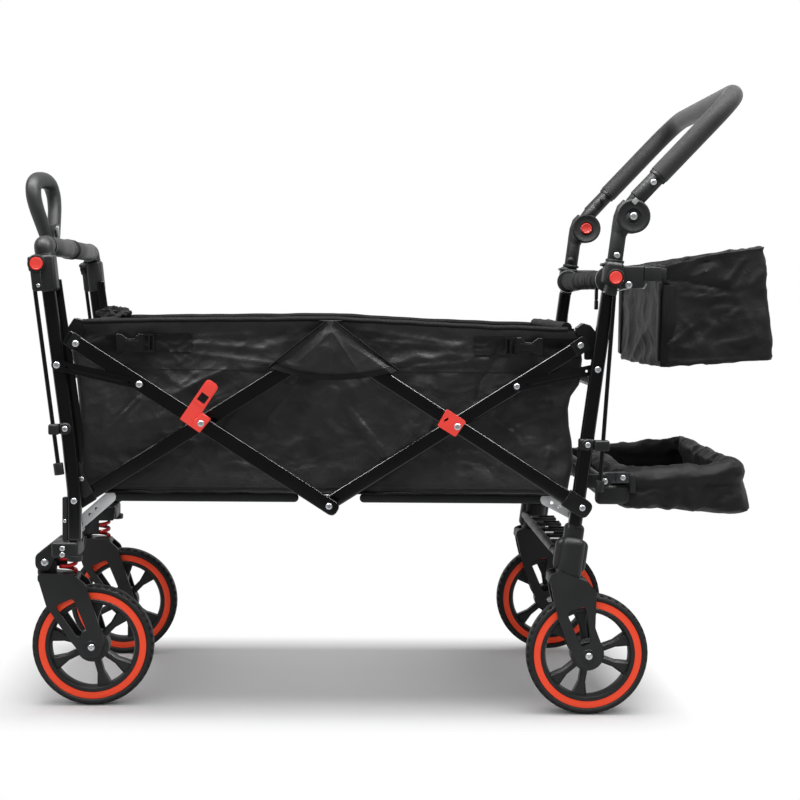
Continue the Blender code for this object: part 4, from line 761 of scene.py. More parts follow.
def housingShapes(plan, side):
    middle = postTop + housingHeight / 2
    x, lean = plan["postX"](middle), plan["lean"]
    near, far = housingLayer
    button = plan["button"]
    shapes = [lathe([(0.0112, side * (far - 0.008)), (0.0112, side * (far + 0.0004)),
                     (0.012, side * (far + 0.0012)), (0.0136, side * (far + 0.0006)),
                     (0.0148, side * (far - 0.0025)), (0.0148, side * (far - 0.02))],
                    (button[0], 0.0, button[1]), 40)]
    if plan["guided"]:  # a sleeve round the post with the rod's guide in front of it
        return shapes + [
            box((0.028, far - near - 0.0015, housingHeight + 0.001),
                (x + 0.0036, side * (near + far - 0.0015) / 2, middle), lean, 0.006, 5),
            box((0.018, 0.022, 0.04), (-0.5745, side * (rodY - 0.001), 0.703), lean, 0.004, 3),
            box((0.0262, 0.02, 0.0238), (-0.5755, side * (rodY - 0.001), 0.727), lean, 0.0035, 3)]
    start = rearPostX(0.718)  # a collar above, a narrower sleeve below and the arm to the bag
    return shapes + [
        box((0.031, far - near - 0.001, 0.038),
            (x + 0.0025, side * (near + far) / 2, middle + 0.0095), lean, 0.007, 5),
        box((0.019, far - near - 0.005, 0.027),
            (x + 0.0004, side * (near + far - 0.002) / 2, postTop + 0.0165), lean, 0.0035, 4),
        box((0.035, 0.03, 0.005), (x + 0.002, side * (postY + 0.001), middle + 0.022), lean,
            0.002, 2),
        box((0.04, 0.015, 0.036), (0.38, side * (postY - 0.003), 0.7165), 0.0, 0.003, 3),
        box((0.027, 0.017, 0.0225), (0.4131, side * (postY - 0.003), 0.7215), 0.0, 0.0014, 3),
        box((0.01, 0.026, 0.03), (start + 0.012, side * (postY + 0.002), 0.712), lean,
            0.003, 3)]


def buttonShape(x, z, face, outward, radius=0.0105):
    profile = [(0.0, -0.0036), (radius, -0.0036), (radius, 0.0012), (radius - 0.0009, 0.0023),
               (radius - 0.0022, 0.0025), (radius - 0.003, 0.0019), (0.0, 0.0017)]
    return lathe([(r, face + outward * y) for r, y in profile], (x, 0.0, z), 40)


for end, plan in housingPlan.items():
    for name, side in sides.items():
        if end == "rear":
            screws = [bolt(rearPostX(0.718) + 0.029, 0.7035, side, postY + 0.0045, 0.0058, 0.003)]
        else:
            screws = [bolt(-0.5712, 0.692, side, rodY + 0.0098, 0.003, 0.0016)]
        makePiece(f"{end}_housing_{name}", housingShapes(plan, side), f"{end}_frame", mouldedNylon,
                  (f"{end}_lock_housing_{name}",))
        makePiece(f"{end}_housing_screws_{name}", screws, f"{end}_frame", brightZinc)
        x, z = plan["button"]
        makePiece(f"{end}_push_button_{name}", [buttonShape(x, z, side * housingLayer[1], side)],
                  f"{end}_button_{name}", redAbs, (f"{end}_button_{name}",))
print("lock housings made")


# Pull frame: bar with elbows, sleeves, sliding rods and the hinge cheeks of the grip
pullPlan = {"x": -0.567, "z": 0.7565, "radius": 0.0135, "gripX": -0.597}


def pullShapes(plan):
    x, z, radius = plan["x"], plan["z"], plan["radius"]
    plastic, steel = [rod((x, -postY + 0.01, z), (x, postY - 0.01, z), radius, sides=36)], []
    for side in sides.values():
        corner = [(frontLegX(0.7425), side * postY, 0.7425),
                  (x - 0.0004, side * postY, z), (x, side * (postY - 0.03), z)]
        plastic.append(sweep(roundedPath(corner, 0.018, 10), radius + 0.002, 32))
        plastic.append(leaning(frontLegX, side * postY, 0.7405, 0.743, radius + 0.0028, sides=36,
                               edge=0.001))
        top = 0.735
        plastic.append(box((0.029, rodY - postY + 0.012, 0.0065),
                           (x - 0.008, side * (postY + rodY) / 2, top - 0.003), 0.0, 0.002, 2))
        plastic.append(leaning(frontRodX, side * rodY, 0.3895, 0.4085, 0.008, edge=0.0012))
        steel.append(leaning(frontRodX, side * rodY, 0.392, top, 0.0035, sides=16))
        steel.append(leaning(frontLegX, side * postY, 0.692, z, 0.007, sides=20))
        for near, far, grow in ((0.02, 0.026, 0.004), (0.026, 0.033, 0.0026),
                                (0.033, 0.228, 0.0022), (0.23, 0.237, 0.0034)):
            plastic.append(across(x, z, side, near, far, radius + grow, sides=40, edge=0.001))
        plastic.append(plate(capsule((x, z), (plan["gripX"], z), 0.0095, 18), 0.013, 0.0175,
                             side, 0.0012))
    plastic.append(across(plan["gripX"], z, 1, -0.015, 0.015, 0.0034, sides=20))
    return plastic, steel


plastic, steel = pullShapes(pullPlan)
makePiece("pull_bar", plastic, "pull_frame", mouldedNylon, ("pull_frame",), 35)
makePiece("pull_rods", steel, "pull_frame", blackPowderCoat)
# Thin bright zinc rings at the sleeves' steps stand for the highlights on those edges: painted
# highlights
rings = [lathe([(0.014, side * y0), (grow, side * y0), (grow, side * (y0 + 0.001)),
                (0.014, side * (y0 + 0.001))], (pullPlan["x"], 0.0, pullPlan["z"]), 40)
         for side in sides.values() for y0, grow in ((0.0262, 0.0168), (0.2286, 0.0166))]
makePiece("pull_bar_ring_highlights", rings, "pull_frame", brightZinc)
bolts = [bolt(pullPlan["gripX"], pullPlan["z"], side, 0.0175, 0.005, 0.0026)
         for side in sides.values()]
makePiece("pull_grip_bolts", bolts, "pull_frame", brightZinc)

gripPlan = {"radius": 0.0115, "height": 0.121, "halfWidth": 0.036, "twist": -19, "lean": -9}
gripTurn = (Matrix.Rotation(math.radians(gripPlan["lean"]), 3, "Y")
            @ Matrix.Rotation(math.radians(gripPlan["twist"]), 3, "Z"))
gripPivot = Vector((pullPlan["gripX"], 0.0, pullPlan["z"]))
half = [(0.2, 0.1), (0.36, 0.19), (0.62, 0.38), (0.92, 0.6), (1.02, 0.78), (0.86, 0.93),
        (0.48, 0.995)]
arch = [(-a, b) for a, b in half] + [(0.0, 1.005)] + [(a, b) for a, b in reversed(half)]
corners = [gripPivot + gripTurn @ Vector((0.0, a * gripPlan["halfWidth"], b * gripPlan["height"]))
           for a, b in arch]
path = roundedPath(corners, 0.03, 6)
count = len(path)
shares = [0.98 + 0.18 * math.sin(math.pi * step / (count - 1)) ** 2 for step in range(count)]
axis = gripTurn @ Vector((0.0, 0.0, 1.0))
gripShapes = [sweep(path, gripPlan["radius"], 24, shares, 1.12),
              rod(gripPivot + axis * 0.004, gripPivot + axis * 0.042, 0.0112, 0.02, 32, 0.003),
              across(gripPivot.x, gripPivot.z, 1, -0.012, 0.012, 0.0102, sides=32, edge=0.001)]
tongue = gripPivot + Vector((0.0095, -0.0105, 0.0215))
makePiece("pull_grip_plate", [box((0.011, 0.004, 0.037), tongue, math.radians(-7), 0.0012, 3)],
          "pull_grip", brushedPlate)
# A black block on the plate stands for its slot: painted shade of the opening
slot = tongue + Vector((-0.0012, -0.0012, 0.006))
makePiece("pull_grip_slot_shade", [box((0.0036, 0.003, 0.015), slot, math.radians(-7), 0.0012, 3)],
          "pull_grip", glossAcetal)
makePiece("pull_grip_loop", gripShapes, "pull_grip", gripRubber, ("pull_grip",), 50)
print("pull frame made")


# Casters: swivel head, spring, fork
casterPlan = {
    "headTop": 0.2797, "headFoot": 0.2535, "halfWidth": 0.027, "wall": 0.006,
    "cheek": [(-14, 279.7, 4), (-56, 279.7, 6), (-93, 250, 12), (-93, 227, 14),
              (-70, 223.5, 10), (-58, 253.5, 3), (-18, 253.5, 5)],
    "head": [(-16, 279.7, 3), (-56, 279.7, 5), (-64, 271.7, 3), (-60, 253.5, 2), (-20, 253.5, 4)],
    "frontFork": [(-90, 222, 8), (-28, 218.5, 14), (-10, 203, 14), (11, 140, 12), (21, 108, 16),
                  (12, 82, 17), (-12, 82, 17), (-36, 112, 12), (-74, 168, 24)],
    "frontWindow": [(-60, 168, 6), (-30, 181, 6), (-8, 128, 6), (-22, 113, 6)],
    "rearFork": [(-67, 232, 10), (-50, 238, 6), (-4, 222, 14), (11, 206, 12), (10, 146, 14),
                 (24, 110, 16), (16, 80, 18), (-14, 80, 18), (-31, 110, 16), (-50, 158, 24),
                 (-60, 198, 24)],
    "rearWindow": [(-37, 171, 7), (-6, 182, 7), (3, 120, 7), (-12, 113, 7)],
    "pin": 0.0285, "washer": (0.0255, 0.0284)}
springPlan = {"turns": 2.0, "low": 0.2225, "high": 0.249, "reach": 0.0124, "wire": 0.0033,
              "aside": 0.0415, "steps": 140}


def headShapes(side, plan):
    a, top, foot = frontAxleX, plan["headTop"], plan["headFoot"]
    cheeks = [plate(offsets((a, 0), plan["cheek"], 6), frontWheelY + low, frontWheelY + high, side,
                    0.0022, (), 3) for low, high in ((-0.02, -0.0128), (0.0128, 0.02))]
    body = plate(offsets((a, 0), plan["head"], 6), frontWheelY - 0.0135, frontWheelY + 0.0135,
                 side, 0.0012)
    arm = box((0.043, 0.272 - frontWheelY + 0.006, top - foot),
              (a - 0.037, side * (0.272 + frontWheelY) / 2, (top + foot) / 2), 0.0, 0.005, 4)
    postX = frontPostX(0.28)
    boss = rod((postX, side * postY, foot - 0.006), (postX, side * postY, foot + 0.004), 0.0125,
               sides=32, edge=0.002)
    rib = box((0.023, 0.006, 0.033), (a - 0.057, side * (frontWheelY - 0.0165), 0.244), 0.0, 0.002)
    return [*cheeks, rib, body, arm, boss]


# Bolts on both ends of a pin that runs across, its faces at two distances from the middle
def pinBolts(x, z, side, inner, outer, radius=0.0058, height=0.003):
    return [bolt(x, z, side, outer, radius, height), bolt(x, z, -side, -inner, radius, height)]


def forkShapes(end, axleX, wheelY, side, plan, washers):
    half, wall = plan["halfWidth"], plan["wall"]
    outline = offsets((axleX, 0), plan[f"{end}Fork"], 8)
    window = offsets((axleX, 0), plan[f"{end}Window"], 5)
    shapes = [plate(outline, wheelY + low, wheelY + low + wall, side, 0.002, [window], 3)
              for low in (-half, half - wall)]
    pin = plan["pin"]
    shapes.append(across(axleX, wheelRadius, side, wheelY - pin, wheelY + pin, 0.005))
    for out in washers:
        near, far = (wheelY + out * face for face in plan["washer"])
        shapes.append(across(axleX, wheelRadius, side, near, far, 0.0115, 0.0105, edge=0.0008))
    return shapes


def springPath(centre, low, high, reach, turns, steps):
    path = []
    for step in range(steps + 1):
        share = step / steps
        turn = 2 * math.pi * turns * share
        path.append((centre[0] + reach * math.cos(turn), centre[1] + reach * math.sin(turn),
                     low + (high - low) * share))
    return path


for name, side in sides.items():
    a = frontAxleX
    makePiece(f"caster_swivel_head_{name}", headShapes(side, casterPlan), f"caster_{name}",
              mouldedNylon, (f"caster_head_{name}",))
    bolts = pinBolts(a - 0.077, 0.239, side, frontWheelY - 0.02, frontWheelY + 0.02, 0.0062, 0.0034)
    bolts += [bolt(a - 0.0404, z, side, 0.275, 0.0044, 0.0026) for z in (0.2694, 0.2594)]
    makePiece(f"caster_bolts_{name}", bolts, f"caster_{name}", brightZinc)

    crown = [box((0.066, 0.052, 0.015), (a - 0.056, side * frontWheelY, 0.2125), 0.02, 0.0055, 4),
             box((0.03, 0.0235, 0.03), (a - 0.076, side * frontWheelY, 0.229), 0.0, 0.005, 3),
             rod((a - 0.04, side * frontWheelY, 0.2165), (a - 0.04, side * frontWheelY, 0.2205),
                 0.0145, 0.013, 32, 0.001)]
    fork = forkShapes("front", a, frontWheelY, side, casterPlan, (1, -1))
    makePiece(f"caster_fork_shell_{name}", fork + crown, f"caster_fork_{name}", mouldedNylon,
              (f"front_fork_{name}",))
    bolts = pinBolts(a, wheelRadius, side, frontWheelY - 0.0284, frontWheelY + 0.0284)
    makePiece(f"caster_axle_bolts_{name}", bolts, f"caster_fork_{name}", brightZinc)
    middle, high = (a - springPlan["aside"], side * frontWheelY), springPlan["high"]
    coil = springPath(middle, springPlan["low"], high, springPlan["reach"], springPlan["turns"],
                      springPlan["steps"])
    spring = makePiece(f"caster_spring_{name}", [sweep(coil, springPlan["wire"], 14)],
                       f"caster_{name}", springEnamel, (f"spring_{name}",), 60)
    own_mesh(spring)

    r = rearAxleX
    lean, collarX = rearPostLean, rearPostX(0.262)
    crown = [box((0.066, 0.052, 0.017), (r - 0.034, side * rearWheelY, 0.2185), 0.2, 0.006, 4),
             box((0.04, 0.046, 0.072), (collarX, side * postY, 0.257), lean, 0.013, 6),
             box((0.053, 0.028, 0.052), (collarX, side * postY, 0.262), lean, 0.01, 5),
             box((0.032, 0.028, 0.03), (rearPostX(0.299), side * postY, 0.299), lean, 0.0085, 5),
             across(r - 0.049, 0.262, side, rearWheelY - 0.06, rearWheelY - 0.015, 0.0065)]
    fork = forkShapes("rear", r, rearWheelY, side, casterPlan, (1,))
    makePiece(f"rear_fork_shell_{name}", fork + crown, "rear_frame", mouldedNylon,
              (f"rear_fork_{name}",))
    bolts = pinBolts(r, wheelRadius, side, rearWheelY - 0.0285, rearWheelY + 0.0284)
    makePiece(f"rear_axle_bolts_{name}", bolts, "rear_frame", brightZinc)
print("casters and rear forks made")


# Red mouldings on the crossings, drawn as offsets from the crossing in millimetres
latchPlan = {
    "body": [(-33.8, 8.6, 2), (10.1, 74.0, 7), (28.3, 61.0, 7), (1.0, 18.8, 2), (15.8, 9.0, 2),
             (-2.4, -13.2, 2)],
    "window": [(-7.0, 40.4, 1), (1.4, 52.4, 1), (13.0, 44.2, 1), (4.6, 32.2, 1)],
    "rim": [(-13.0, 39.0, 2), (10.2, 72.0, 6), (26.6, 60.6, 6), (3.4, 27.0, 2)],
    "foot": [(-13.6, -4.6, 2), (-11.6, 6.0, 5), (2.8, 19.2, 1), (15.0, 9.6, 2), (-2.6, -12.6, 2)]}
blockPlan = {"body": [(-32.1, 1.0, 3), (-17.2, 28.4, 3), (13.9, 8.6, 3), (-3.0, -16.5, 3)],
             "slot": [(-22.0, 6.8, 0.5), (-21.0, 11.4, 0.5), (-14.8, 15.2, 0.5),
                      (-15.0, 10.6, 0.5)]}


for name, side in sides.items():
    face = outerBar[1] + 0.0003
    parts = {key: offsets(crossFront, outline) for key, outline in latchPlan.items()}
    latch = [plate(parts["body"], face, face + 0.01, side, 0.0022, [parts["window"]], 3),
             plate(parts["rim"], face + 0.0092, face + 0.0116, side, 0.001, [parts["window"]], 2),
             plate(parts["foot"], face + 0.0085, face + 0.0145, side, 0.0016, (), 3)]
    makePiece(f"latch_lever_{name}", latch, f"latch_{name}", redAbs, (f"latch_{name}",))
    makePiece(f"latch_bolt_{name}",
              [bolt(crossFront[0], crossFront[1] + 0.002, side, face + 0.0138, 0.0054, 0.0028)],
              f"latch_{name}", brightZinc)
    body, slot = (offsets(crossRear, blockPlan[key]) for key in ("body", "slot"))
    makePiece(f"crossing_clip_{name}", [plate(body, face, face + 0.0125, side, 0.0034, [slot], 4)],
              "bars_c", redAbs, (f"cross_clip_{name}",))
    makePiece(f"crossing_bolt_{name}", [bolt(*crossRear, side, face + 0.0125, 0.0056, 0.0028)],
              "bars_c", brightZinc)
print("latches made")


# Push frame: sleeves on the rear housings, hinge discs, the rods beside the posts, the handle
pushPlan = {"hinge": (0.3785, 0.814), "lean": math.radians(46.8), "foot": (0.3673, 0.8239),
            "legBolt": (0.353, 0.7509), "stop": 0.7535, "handleBolt": 0.0618, "key": 0.0194,
            "foamStart": 0.0785, "foamCorner": 0.267, "foamRadius": 0.0165, "bend": 0.07,
            "sleeves": ((0.351, 0.7385, 0.3586, 0.8, 0.0125, 0.0125, 0.0012),
                        (0.3512, 0.7395, 0.3518, 0.744, 0.0152, 0.0152, 0.001),
                        (0.3572, 0.788, 0.3745, 0.8165, 0.0134, 0.014, 0.001)),
            "neck": ((0.3552, 0.772), (0.3584, 0.795), (0.3605, 0.812), (0.364, 0.827),
                     (0.37, 0.837))}
hingeSpot, handleLean = pushPlan["hinge"], pushPlan["lean"]


def handlePoint(distance, y):
    return Vector((pushPlan["foot"][0] + math.cos(handleLean) * distance, y,
                   pushPlan["foot"][1] + math.sin(handleLean) * distance))


def discShapes(side, near, far, radius=0.0275):
    out = math.copysign(1, far - near)
    face = [(0.0, near), (radius - 0.0014, near), (radius, near + out * 0.0014),
            (radius, far - out * 0.0022), (radius - 0.0022, far), (radius - 0.0045, far),
            (radius - 0.006, far - out * 0.0009), (0.0128, far - out * 0.0009),
            (0.0118, far - out * 0.003), (0.0, far - out * 0.003)]
    return lathe([(r, side * y) for r, y in face], (hingeSpot[0], 0.0, hingeSpot[1]), 56)


def dome(x, z, side, face, radius=0.0062, height=0.0042):
    profile = [(0.0, -0.002), (radius, -0.002), (radius, height * 0.2),
               (radius * 0.86, height * 0.62), (radius * 0.5, height * 0.92), (0.0, height)]
    return lathe([(r, side * (face + y)) for r, y in profile], (x, 0.0, z), 28)


for name, side in sides.items():
    plastic = [rod((x0, side * postY, z0), (x1, side * postY, z1), radius, tip, 36, edge)
               for x0, z0, x1, z1, radius, tip, edge in pushPlan["sleeves"]]
    plastic += [
        discShapes(side, postY + 0.0005, postY + 0.015),
        rod((rearRodX(0.734), side * rodY, 0.734), (rearLegX(0.735), side * postY, 0.735),
            0.004, edge=0.001),
        leaning(rearRodX, side * rodY, 0.368, 0.386, 0.007, edge=0.0012),
        sweep([(x, side * postY, z) for x, z in pushPlan["neck"]], 0.0132, 28,
              (0.9, 1.0, 0.98, 0.85, 0.6)),
        dome(rearLegX(pushPlan["stop"]), pushPlan["stop"], -side, -(postY - 0.012))]
    steel = [leaning(rearRodX, side * rodY, 0.374, 0.736, 0.0035, sides=16),
             leaning(rearLegX, side * postY, 0.692, 0.745, 0.007, sides=20)]
    makePiece(f"push_rods_{name}", steel, "push_legs", blackPowderCoat)
    bolts = [bolt(*pushPlan["legBolt"], side, postY + 0.0121, 0.005, 0.0028),
             bolt(*hingeSpot, side, postY + 0.013, 0.0062, 0.003)]
    makePiece(f"push_leg_shell_{name}", plastic, "push_legs", mouldedNylon,
              (f"push_leg_{name}",), 35)
    makePiece(f"push_leg_bolts_{name}", bolts, "push_legs", brightZinc)

    inner = [discShapes(side, postY - 0.0005, postY - 0.015),
             rod(handlePoint(0.012, side * (postY - 0.0045)), handlePoint(0.04, side * postY),
                 0.0105, 0.014, 32, 0.001),
             rod(handlePoint(0.026, side * postY), handlePoint(0.078, side * postY), 0.0138,
                 0.0135, 36, 0.0016),
             rod(handlePoint(0.072, side * postY),
                 handlePoint(pushPlan["foamStart"], side * postY), 0.0156, 0.0156, 36, 0.0012)]
    spot = handlePoint(pushPlan["handleBolt"], 0.0)
    inner.append(dome(spot.x, spot.z, -side, -(postY - 0.0132)))
    makePiece(f"handle_sleeve_{name}", inner, "push_handle", mouldedNylon,
              ("push_handle",) if side < 0 else (), 35)
    plateSpot = handlePoint(pushPlan["key"], side * (postY + 0.014))
    screws = [bolt(spot.x, spot.z, side, postY + 0.0132, 0.005, 0.0028),
              box((0.0095, 0.003, 0.008), plateSpot, -handleLean, 0.0006)]
    makePiece(f"handle_screws_{name}", screws, "push_handle", brightZinc)
    makePiece(f"hinge_push_button_{name}",
              [buttonShape(*hingeSpot, side * (postY - 0.0141), -side)],
              f"hinge_button_{name}", redAbs, (f"hinge_button_{name}",))

corners = [handlePoint(pushPlan[key], y) for key, y in (
    ("foamStart", -postY), ("foamCorner", -postY), ("foamCorner", postY), ("foamStart", postY))]
path = roundedPath(corners, pushPlan["bend"], 16)
makePiece("handle_foam_grip", [sweep(path, pushPlan["foamRadius"], 36)], "push_handle",
          foamRubber, ("push_grip",), 50)
print("push frame made")


# Crossbar between the rear posts, padded and covered in gathered cloth
crossbarPlan = {"height": 0.712, "half": 0.244, "radius": 0.015, "steps": 240}
crossX, crossZ = rearPostX(crossbarPlan["height"]), crossbarPlan["height"]
half, steps = crossbarPlan["half"], crossbarPlan["steps"]
profile = [(0.0, -half)]
for along in (-half + 2 * half * step / steps for step in range(steps + 1)):
    full = math.sqrt(min(1.0, (half - abs(along)) / 0.01 + 0.25))
    profile.append((crossbarPlan["radius"] * full, along))
cover = lathe(profile + [(0.0, half)], (0, 0, 0), 56)
for spot in cover.verts:
    reach = math.hypot(spot.co.x, spot.co.z)
    if reach > 0.004:
        turn = Vector((spot.co.x / reach, spot.co.z / reach, 0.0))
        ridge = abs(noise.noise(Vector((turn.x * 0.5, turn.y * 0.5, spot.co.y * 42))))
        fine = abs(noise.noise(Vector((turn.x, turn.y, spot.co.y * 90 + 5))))
        grow = 1 + 0.14 * (0.5 - ridge * 1.6) + 0.05 * (0.4 - fine)
        spot.co.x *= grow
        spot.co.z *= grow
makePiece("rear_crossbar_cover", [turned(finished(cover), Matrix.Translation((crossX, 0, crossZ)))],
          "rear_frame", bindingTape, ("rear_crossbar",), 60, "black_plastic")
flanges, flangeHighlights = [], []
for side in sides.values():
    flanges.append(lathe([(r, side * y) for r, y in (
        (0.0, 0.244), (0.02, 0.2441), (0.021, 0.245), (0.0206, 0.248), (0.0166, 0.2495),
        (0.0, 0.2515))], (crossX, 0.0, crossZ), 40))
    # A thin bright zinc ring round each flange's edge stands for its highlight: a painted highlight
    flangeHighlights.append(lathe([(r, side * y) for r, y in (
        (0.0204, 0.2438), (0.0213, 0.2438), (0.0216, 0.2444), (0.0213, 0.245), (0.0204, 0.245))],
        (crossX, 0.0, crossZ), 48))
makePiece("rear_crossbar_flanges", flanges, "rear_frame", mouldedNylon)
makePiece("rear_crossbar_rim_highlights", flangeHighlights, "rear_frame", brightZinc)
hooks = [box((0.005, 0.008, 0.024), (crossX - 0.005, -0.15, crossZ - 0.022), 0.0, 0.0018, 2),
         box((0.005, 0.008, 0.024), (crossX - 0.002, -0.134, crossZ - 0.022), 0.0, 0.0018, 2),
         box((0.006, 0.011, 0.016), (crossX - 0.0035, -0.142, crossZ - 0.042), 0.0, 0.0016, 2)]
makePiece("rear_crossbar_clip", hooks, "rear_frame", glossAcetal)

brakePlan = {"x": 0.268, "z": 0.262, "half": 0.2017, "radius": 0.0075,
             "pedals": (-0.15, -0.075, 0.0, 0.075, 0.15)}
brakeX, brakeZ, half = brakePlan["x"], brakePlan["z"], brakePlan["half"]
shapes = [rod((brakeX, -half, brakeZ), (brakeX, half, brakeZ), brakePlan["radius"], sides=28)]
for y in brakePlan["pedals"]:
    shapes.append(box((0.046, 0.03, 0.006), (brakeX + 0.024, y, brakeZ + 0.006), 0.0, 0.0022, 3))
    shapes.append(box((0.03, 0.004, 0.003), (brakeX + 0.03, y, brakeZ + 0.01), 0.0, 0.001))
makePiece("brake_bar_pedals", shapes, "brake_bar", mouldedNylon, ("brake_bar",))
print("crossbar and brake bar made")


# Tub: two hinged floor halves, end panels, side cloth
floorPlan = {"length": 0.32, "lap": 0.032, "mat": 0.031}


def floorShapes(hingeX, towards, plan):
    end = hingeX + towards * plan["length"]
    start = hingeX - towards * plan["lap"]
    middle, length = (start + end) / 2, abs(end - start)
    shapes = [box((length, 0.452, 0.008), (middle, 0.0, 0.359), 0.0, 0.002, 2)]
    for side in sides.values():
        shapes.append(plate(capsule((hingeX, 0.348), (end - towards * 0.019, 0.348), 0.007),
                            0.2145, 0.2265, side, 0.0025, (), 3))
    for share in (0.34, 0.86):
        shapes.append(box((0.018, 0.436, 0.0065),
                          (hingeX + towards * plan["length"] * share, 0.0, 0.352), 0.0, 0.0015))
    return shapes


def quilt(start, end, halfWidth, low, high, rows, columns):
    shape = bmesh.new()
    bmesh.ops.create_grid(shape, x_segments=columns * 14, y_segments=rows * 14, size=1.0)
    for spot in shape.verts:
        x, y = spot.co.x, spot.co.y
        cell = abs(math.sin((x + 1) / 2 * columns * math.pi)
                   * math.sin((y + 1) / 2 * rows * math.pi))
        spot.co = Vector(((start + end) / 2 + x * (end - start) / 2, y * halfWidth,
                          low + (high - low) * (0.25 + 0.75 * cell ** 0.45)))
    rim = [edge for edge in shape.edges if len(edge.link_faces) == 1]
    grown = bmesh.ops.extrude_edge_only(shape, edges=rim)["geom"]
    for item in grown:
        if isinstance(item, bmesh.types.BMVert):
            item.co.z = low - 0.001
    bmesh.ops.edgeloop_fill(shape,
                            edges=[item for item in grown if isinstance(item, bmesh.types.BMEdge)
                                   and len(item.link_faces) == 1])
    return finished(shape)


for end, towards in (("front", 1), ("rear", -1)):
    hingeX = floorHinges[end]
    makePiece(f"floor_board_{end}", floorShapes(hingeX, towards, floorPlan), f"floor_{end}",
              mouldedNylon, (f"floor_{end}",), slot="board")
    start = hingeX - towards * floorPlan["mat"]
    stop = hingeX + towards * floorPlan["length"]
    mat = makePiece(f"floor_mat_{end}",
                    [quilt(min(start, stop) + 0.002, max(start, stop) - 0.002, 0.2235, 0.3632, 0.37,
                           4, 3)], f"floor_{end}", tubOxford, (), 60)


def rimHeight(x):
    return float(np.interp(x, (-0.514, -0.486, -0.4005, -0.107, 0.087, 0.292),
                           (0.632, 0.6338, 0.6362, 0.6415, 0.6325, 0.627)))


def eased(share):
    share = max(0.0, min(1.0, share))
    return share * share * (3 - 2 * share)


# Cloth that has been packed and unpacked: crests where a wandering noise crosses nought
def folds(place, seed, sizes):
    height = 0.0
    for order, (length, rise) in enumerate(sizes):
        spot = place / length + Vector((seed, order * 7.3, seed * 0.37))
        spot += noise.noise_vector(spot * 0.55) * 0.8
        height += rise * (0.5 - min(1.0, abs(noise.noise(spot)) * 2.4))
    return height


# Creases drawn one by one, as x, z, x, z, width and height in millimetres
def creased(x, z, creases):
    height, x, z = 0.0, x * 1000, z * 1000
    for x0, z0, x1, z1, width, rise in creases:
        run = (x1 - x0) ** 2 + (z1 - z0) ** 2
        share = ((x - x0) * (x1 - x0) + (z - z0) * (z1 - z0)) / run
        if -0.25 < share < 1.25:
            held = max(0.0, min(1.0, share))
            away = math.hypot(x - x0 - held * (x1 - x0), z - z0 - held * (z1 - z0))
            if away < 4 * width:
                height += rise * math.exp(-away / width) * eased((1.25 - abs(2 * share - 1)) * 2)
    return height / 1000


# Creases of the tub's side, as the cloth hangs between the bars
tubCreases = [(-362, 519, -278, 560, 3, 2.6), (-354, 530, -323, 555, 2.5, 1.9),
              (-303, 546, -278, 560, 2.5, 1.8), (-368, 587, -351, 568, 3, 2.2),
              (-354, 587, -334, 574, 3, 2.0), (-337, 602, -208, 592, 7, 3.6),
              (-333, 613, -226, 617, 6, 2.8), (-337, 585, -197, 569, 6, 3.0),
              (-412, 514, -434, 453, 6, 2.4), (-470, 520, -480, 440, 8, 2.6),
              (-325, 433, -381, 376, 6, 3.2), (-300, 425, -352, 372, 5, 1.6),
              (-70, 628, 113, 601, 7, 3.6), (-42, 608, 107, 598, 6, 3.0),
              (-12, 569, 102, 589, 7, 3.4), (38, 565, 155, 580, 5, 3.0),
              (163, 584, 138, 542, 5, -4.0), (138, 542, 132, 505, 5, -3.2),
              (32, 535, 47, 530, 2.5, 1.8), (55, 540, 66, 528, 2.5, 1.6),
              (162, 490, 204, 446, 5, 3.4), (204, 446, 212, 420, 6, 2.0),
              (268, 449, 281, 399, 5, 3.4), (251, 435, 243, 397, 5, 2.6),
              (240, 532, 240, 502, 5, 2.4), (148, 404, 187, 366, 5, -2.8),
              (160, 400, 176, 362, 4, 2.0), (205, 540, 262, 556, 5, 2.6),
              (-443, 489, -440, 486, 24, 4.0), (-197, 499, -190, 494, 34, 4.0),
              (-60, 462, -50, 470, 30, 3.4), (190, 512, 200, 505, 26, 3.4),
              (-110, 400, -60, 395, 26, 3.0), (20, 470, 60, 440, 26, 3.0)]
tubSizes = ((0.12, 0.0048), (0.052, 0.0024), (0.021, 0.0008))
rearFlare = ((0.36, 0.385, 0.41, 0.445, 0.47, 0.5, 0.52, 0.54, 0.58, 0.615, 0.63),
             (0.0, 0.004, 0.009, 0.006, 0.001, -0.001, 0.003, 0.017, 0.021, 0.016, 0.008))
frontFlare = ((0.36, 0.5, 0.55, 0.58, 0.63), (0.0, 0.001, 0.006, 0.013, 0.014))


tubSlack = 0.0062  # the depth where no fold lifts the cloth
cornerTurn, cornerBulge, cornerExtra = 0.014, 0.01, 0.012


# How far the side cloth falls inwards at a point, from nought
def tubDepth(x, z, seed):
    height = folds(Vector((x, z * 1.3, 0.0)), seed, tubSizes) + creased(x, z, tubCreases)
    return max(0.0, tubSlack - height)


# A point on the side cloth, whose two ends turn the tub's corners
def sideSpot(u, z, side, lift=0.0):
    turn, bulge, run = cornerTurn, cornerBulge, tubRear - tubFront
    whole = run + cornerExtra
    along = u * whole
    x = tubFront + bulge + (along - turn) / (whole - 2 * turn) * (run - 2 * bulge)
    y, near = clothFace, min(along, whole - along)
    if near < turn:
        angle = (1 - near / turn) * math.pi / 2
        inset = bulge * (1 - math.sin(angle))
        x = tubFront + inset if along < turn else tubRear - inset
        y -= bulge * (1 - math.cos(angle))
    ends = max(0.0, min(1.0, (x - tubFront) / 0.025, (tubRear - x) / 0.025))
    top = rimHeight(x)
    hold = eased(min((z - tubFloor) / 0.06, (top - z) / 0.03))
    y -= tubDepth(x, z, 3.1 if side < 0 else 8.7) * ends * hold + 0.0012
    x += float(np.interp(z, *rearFlare)) * eased((x - 0.205) / 0.075)
    x -= float(np.interp(z, *frontFlare)) * eased((-0.462 - x) / 0.05)
    return x, side * (y + lift), z


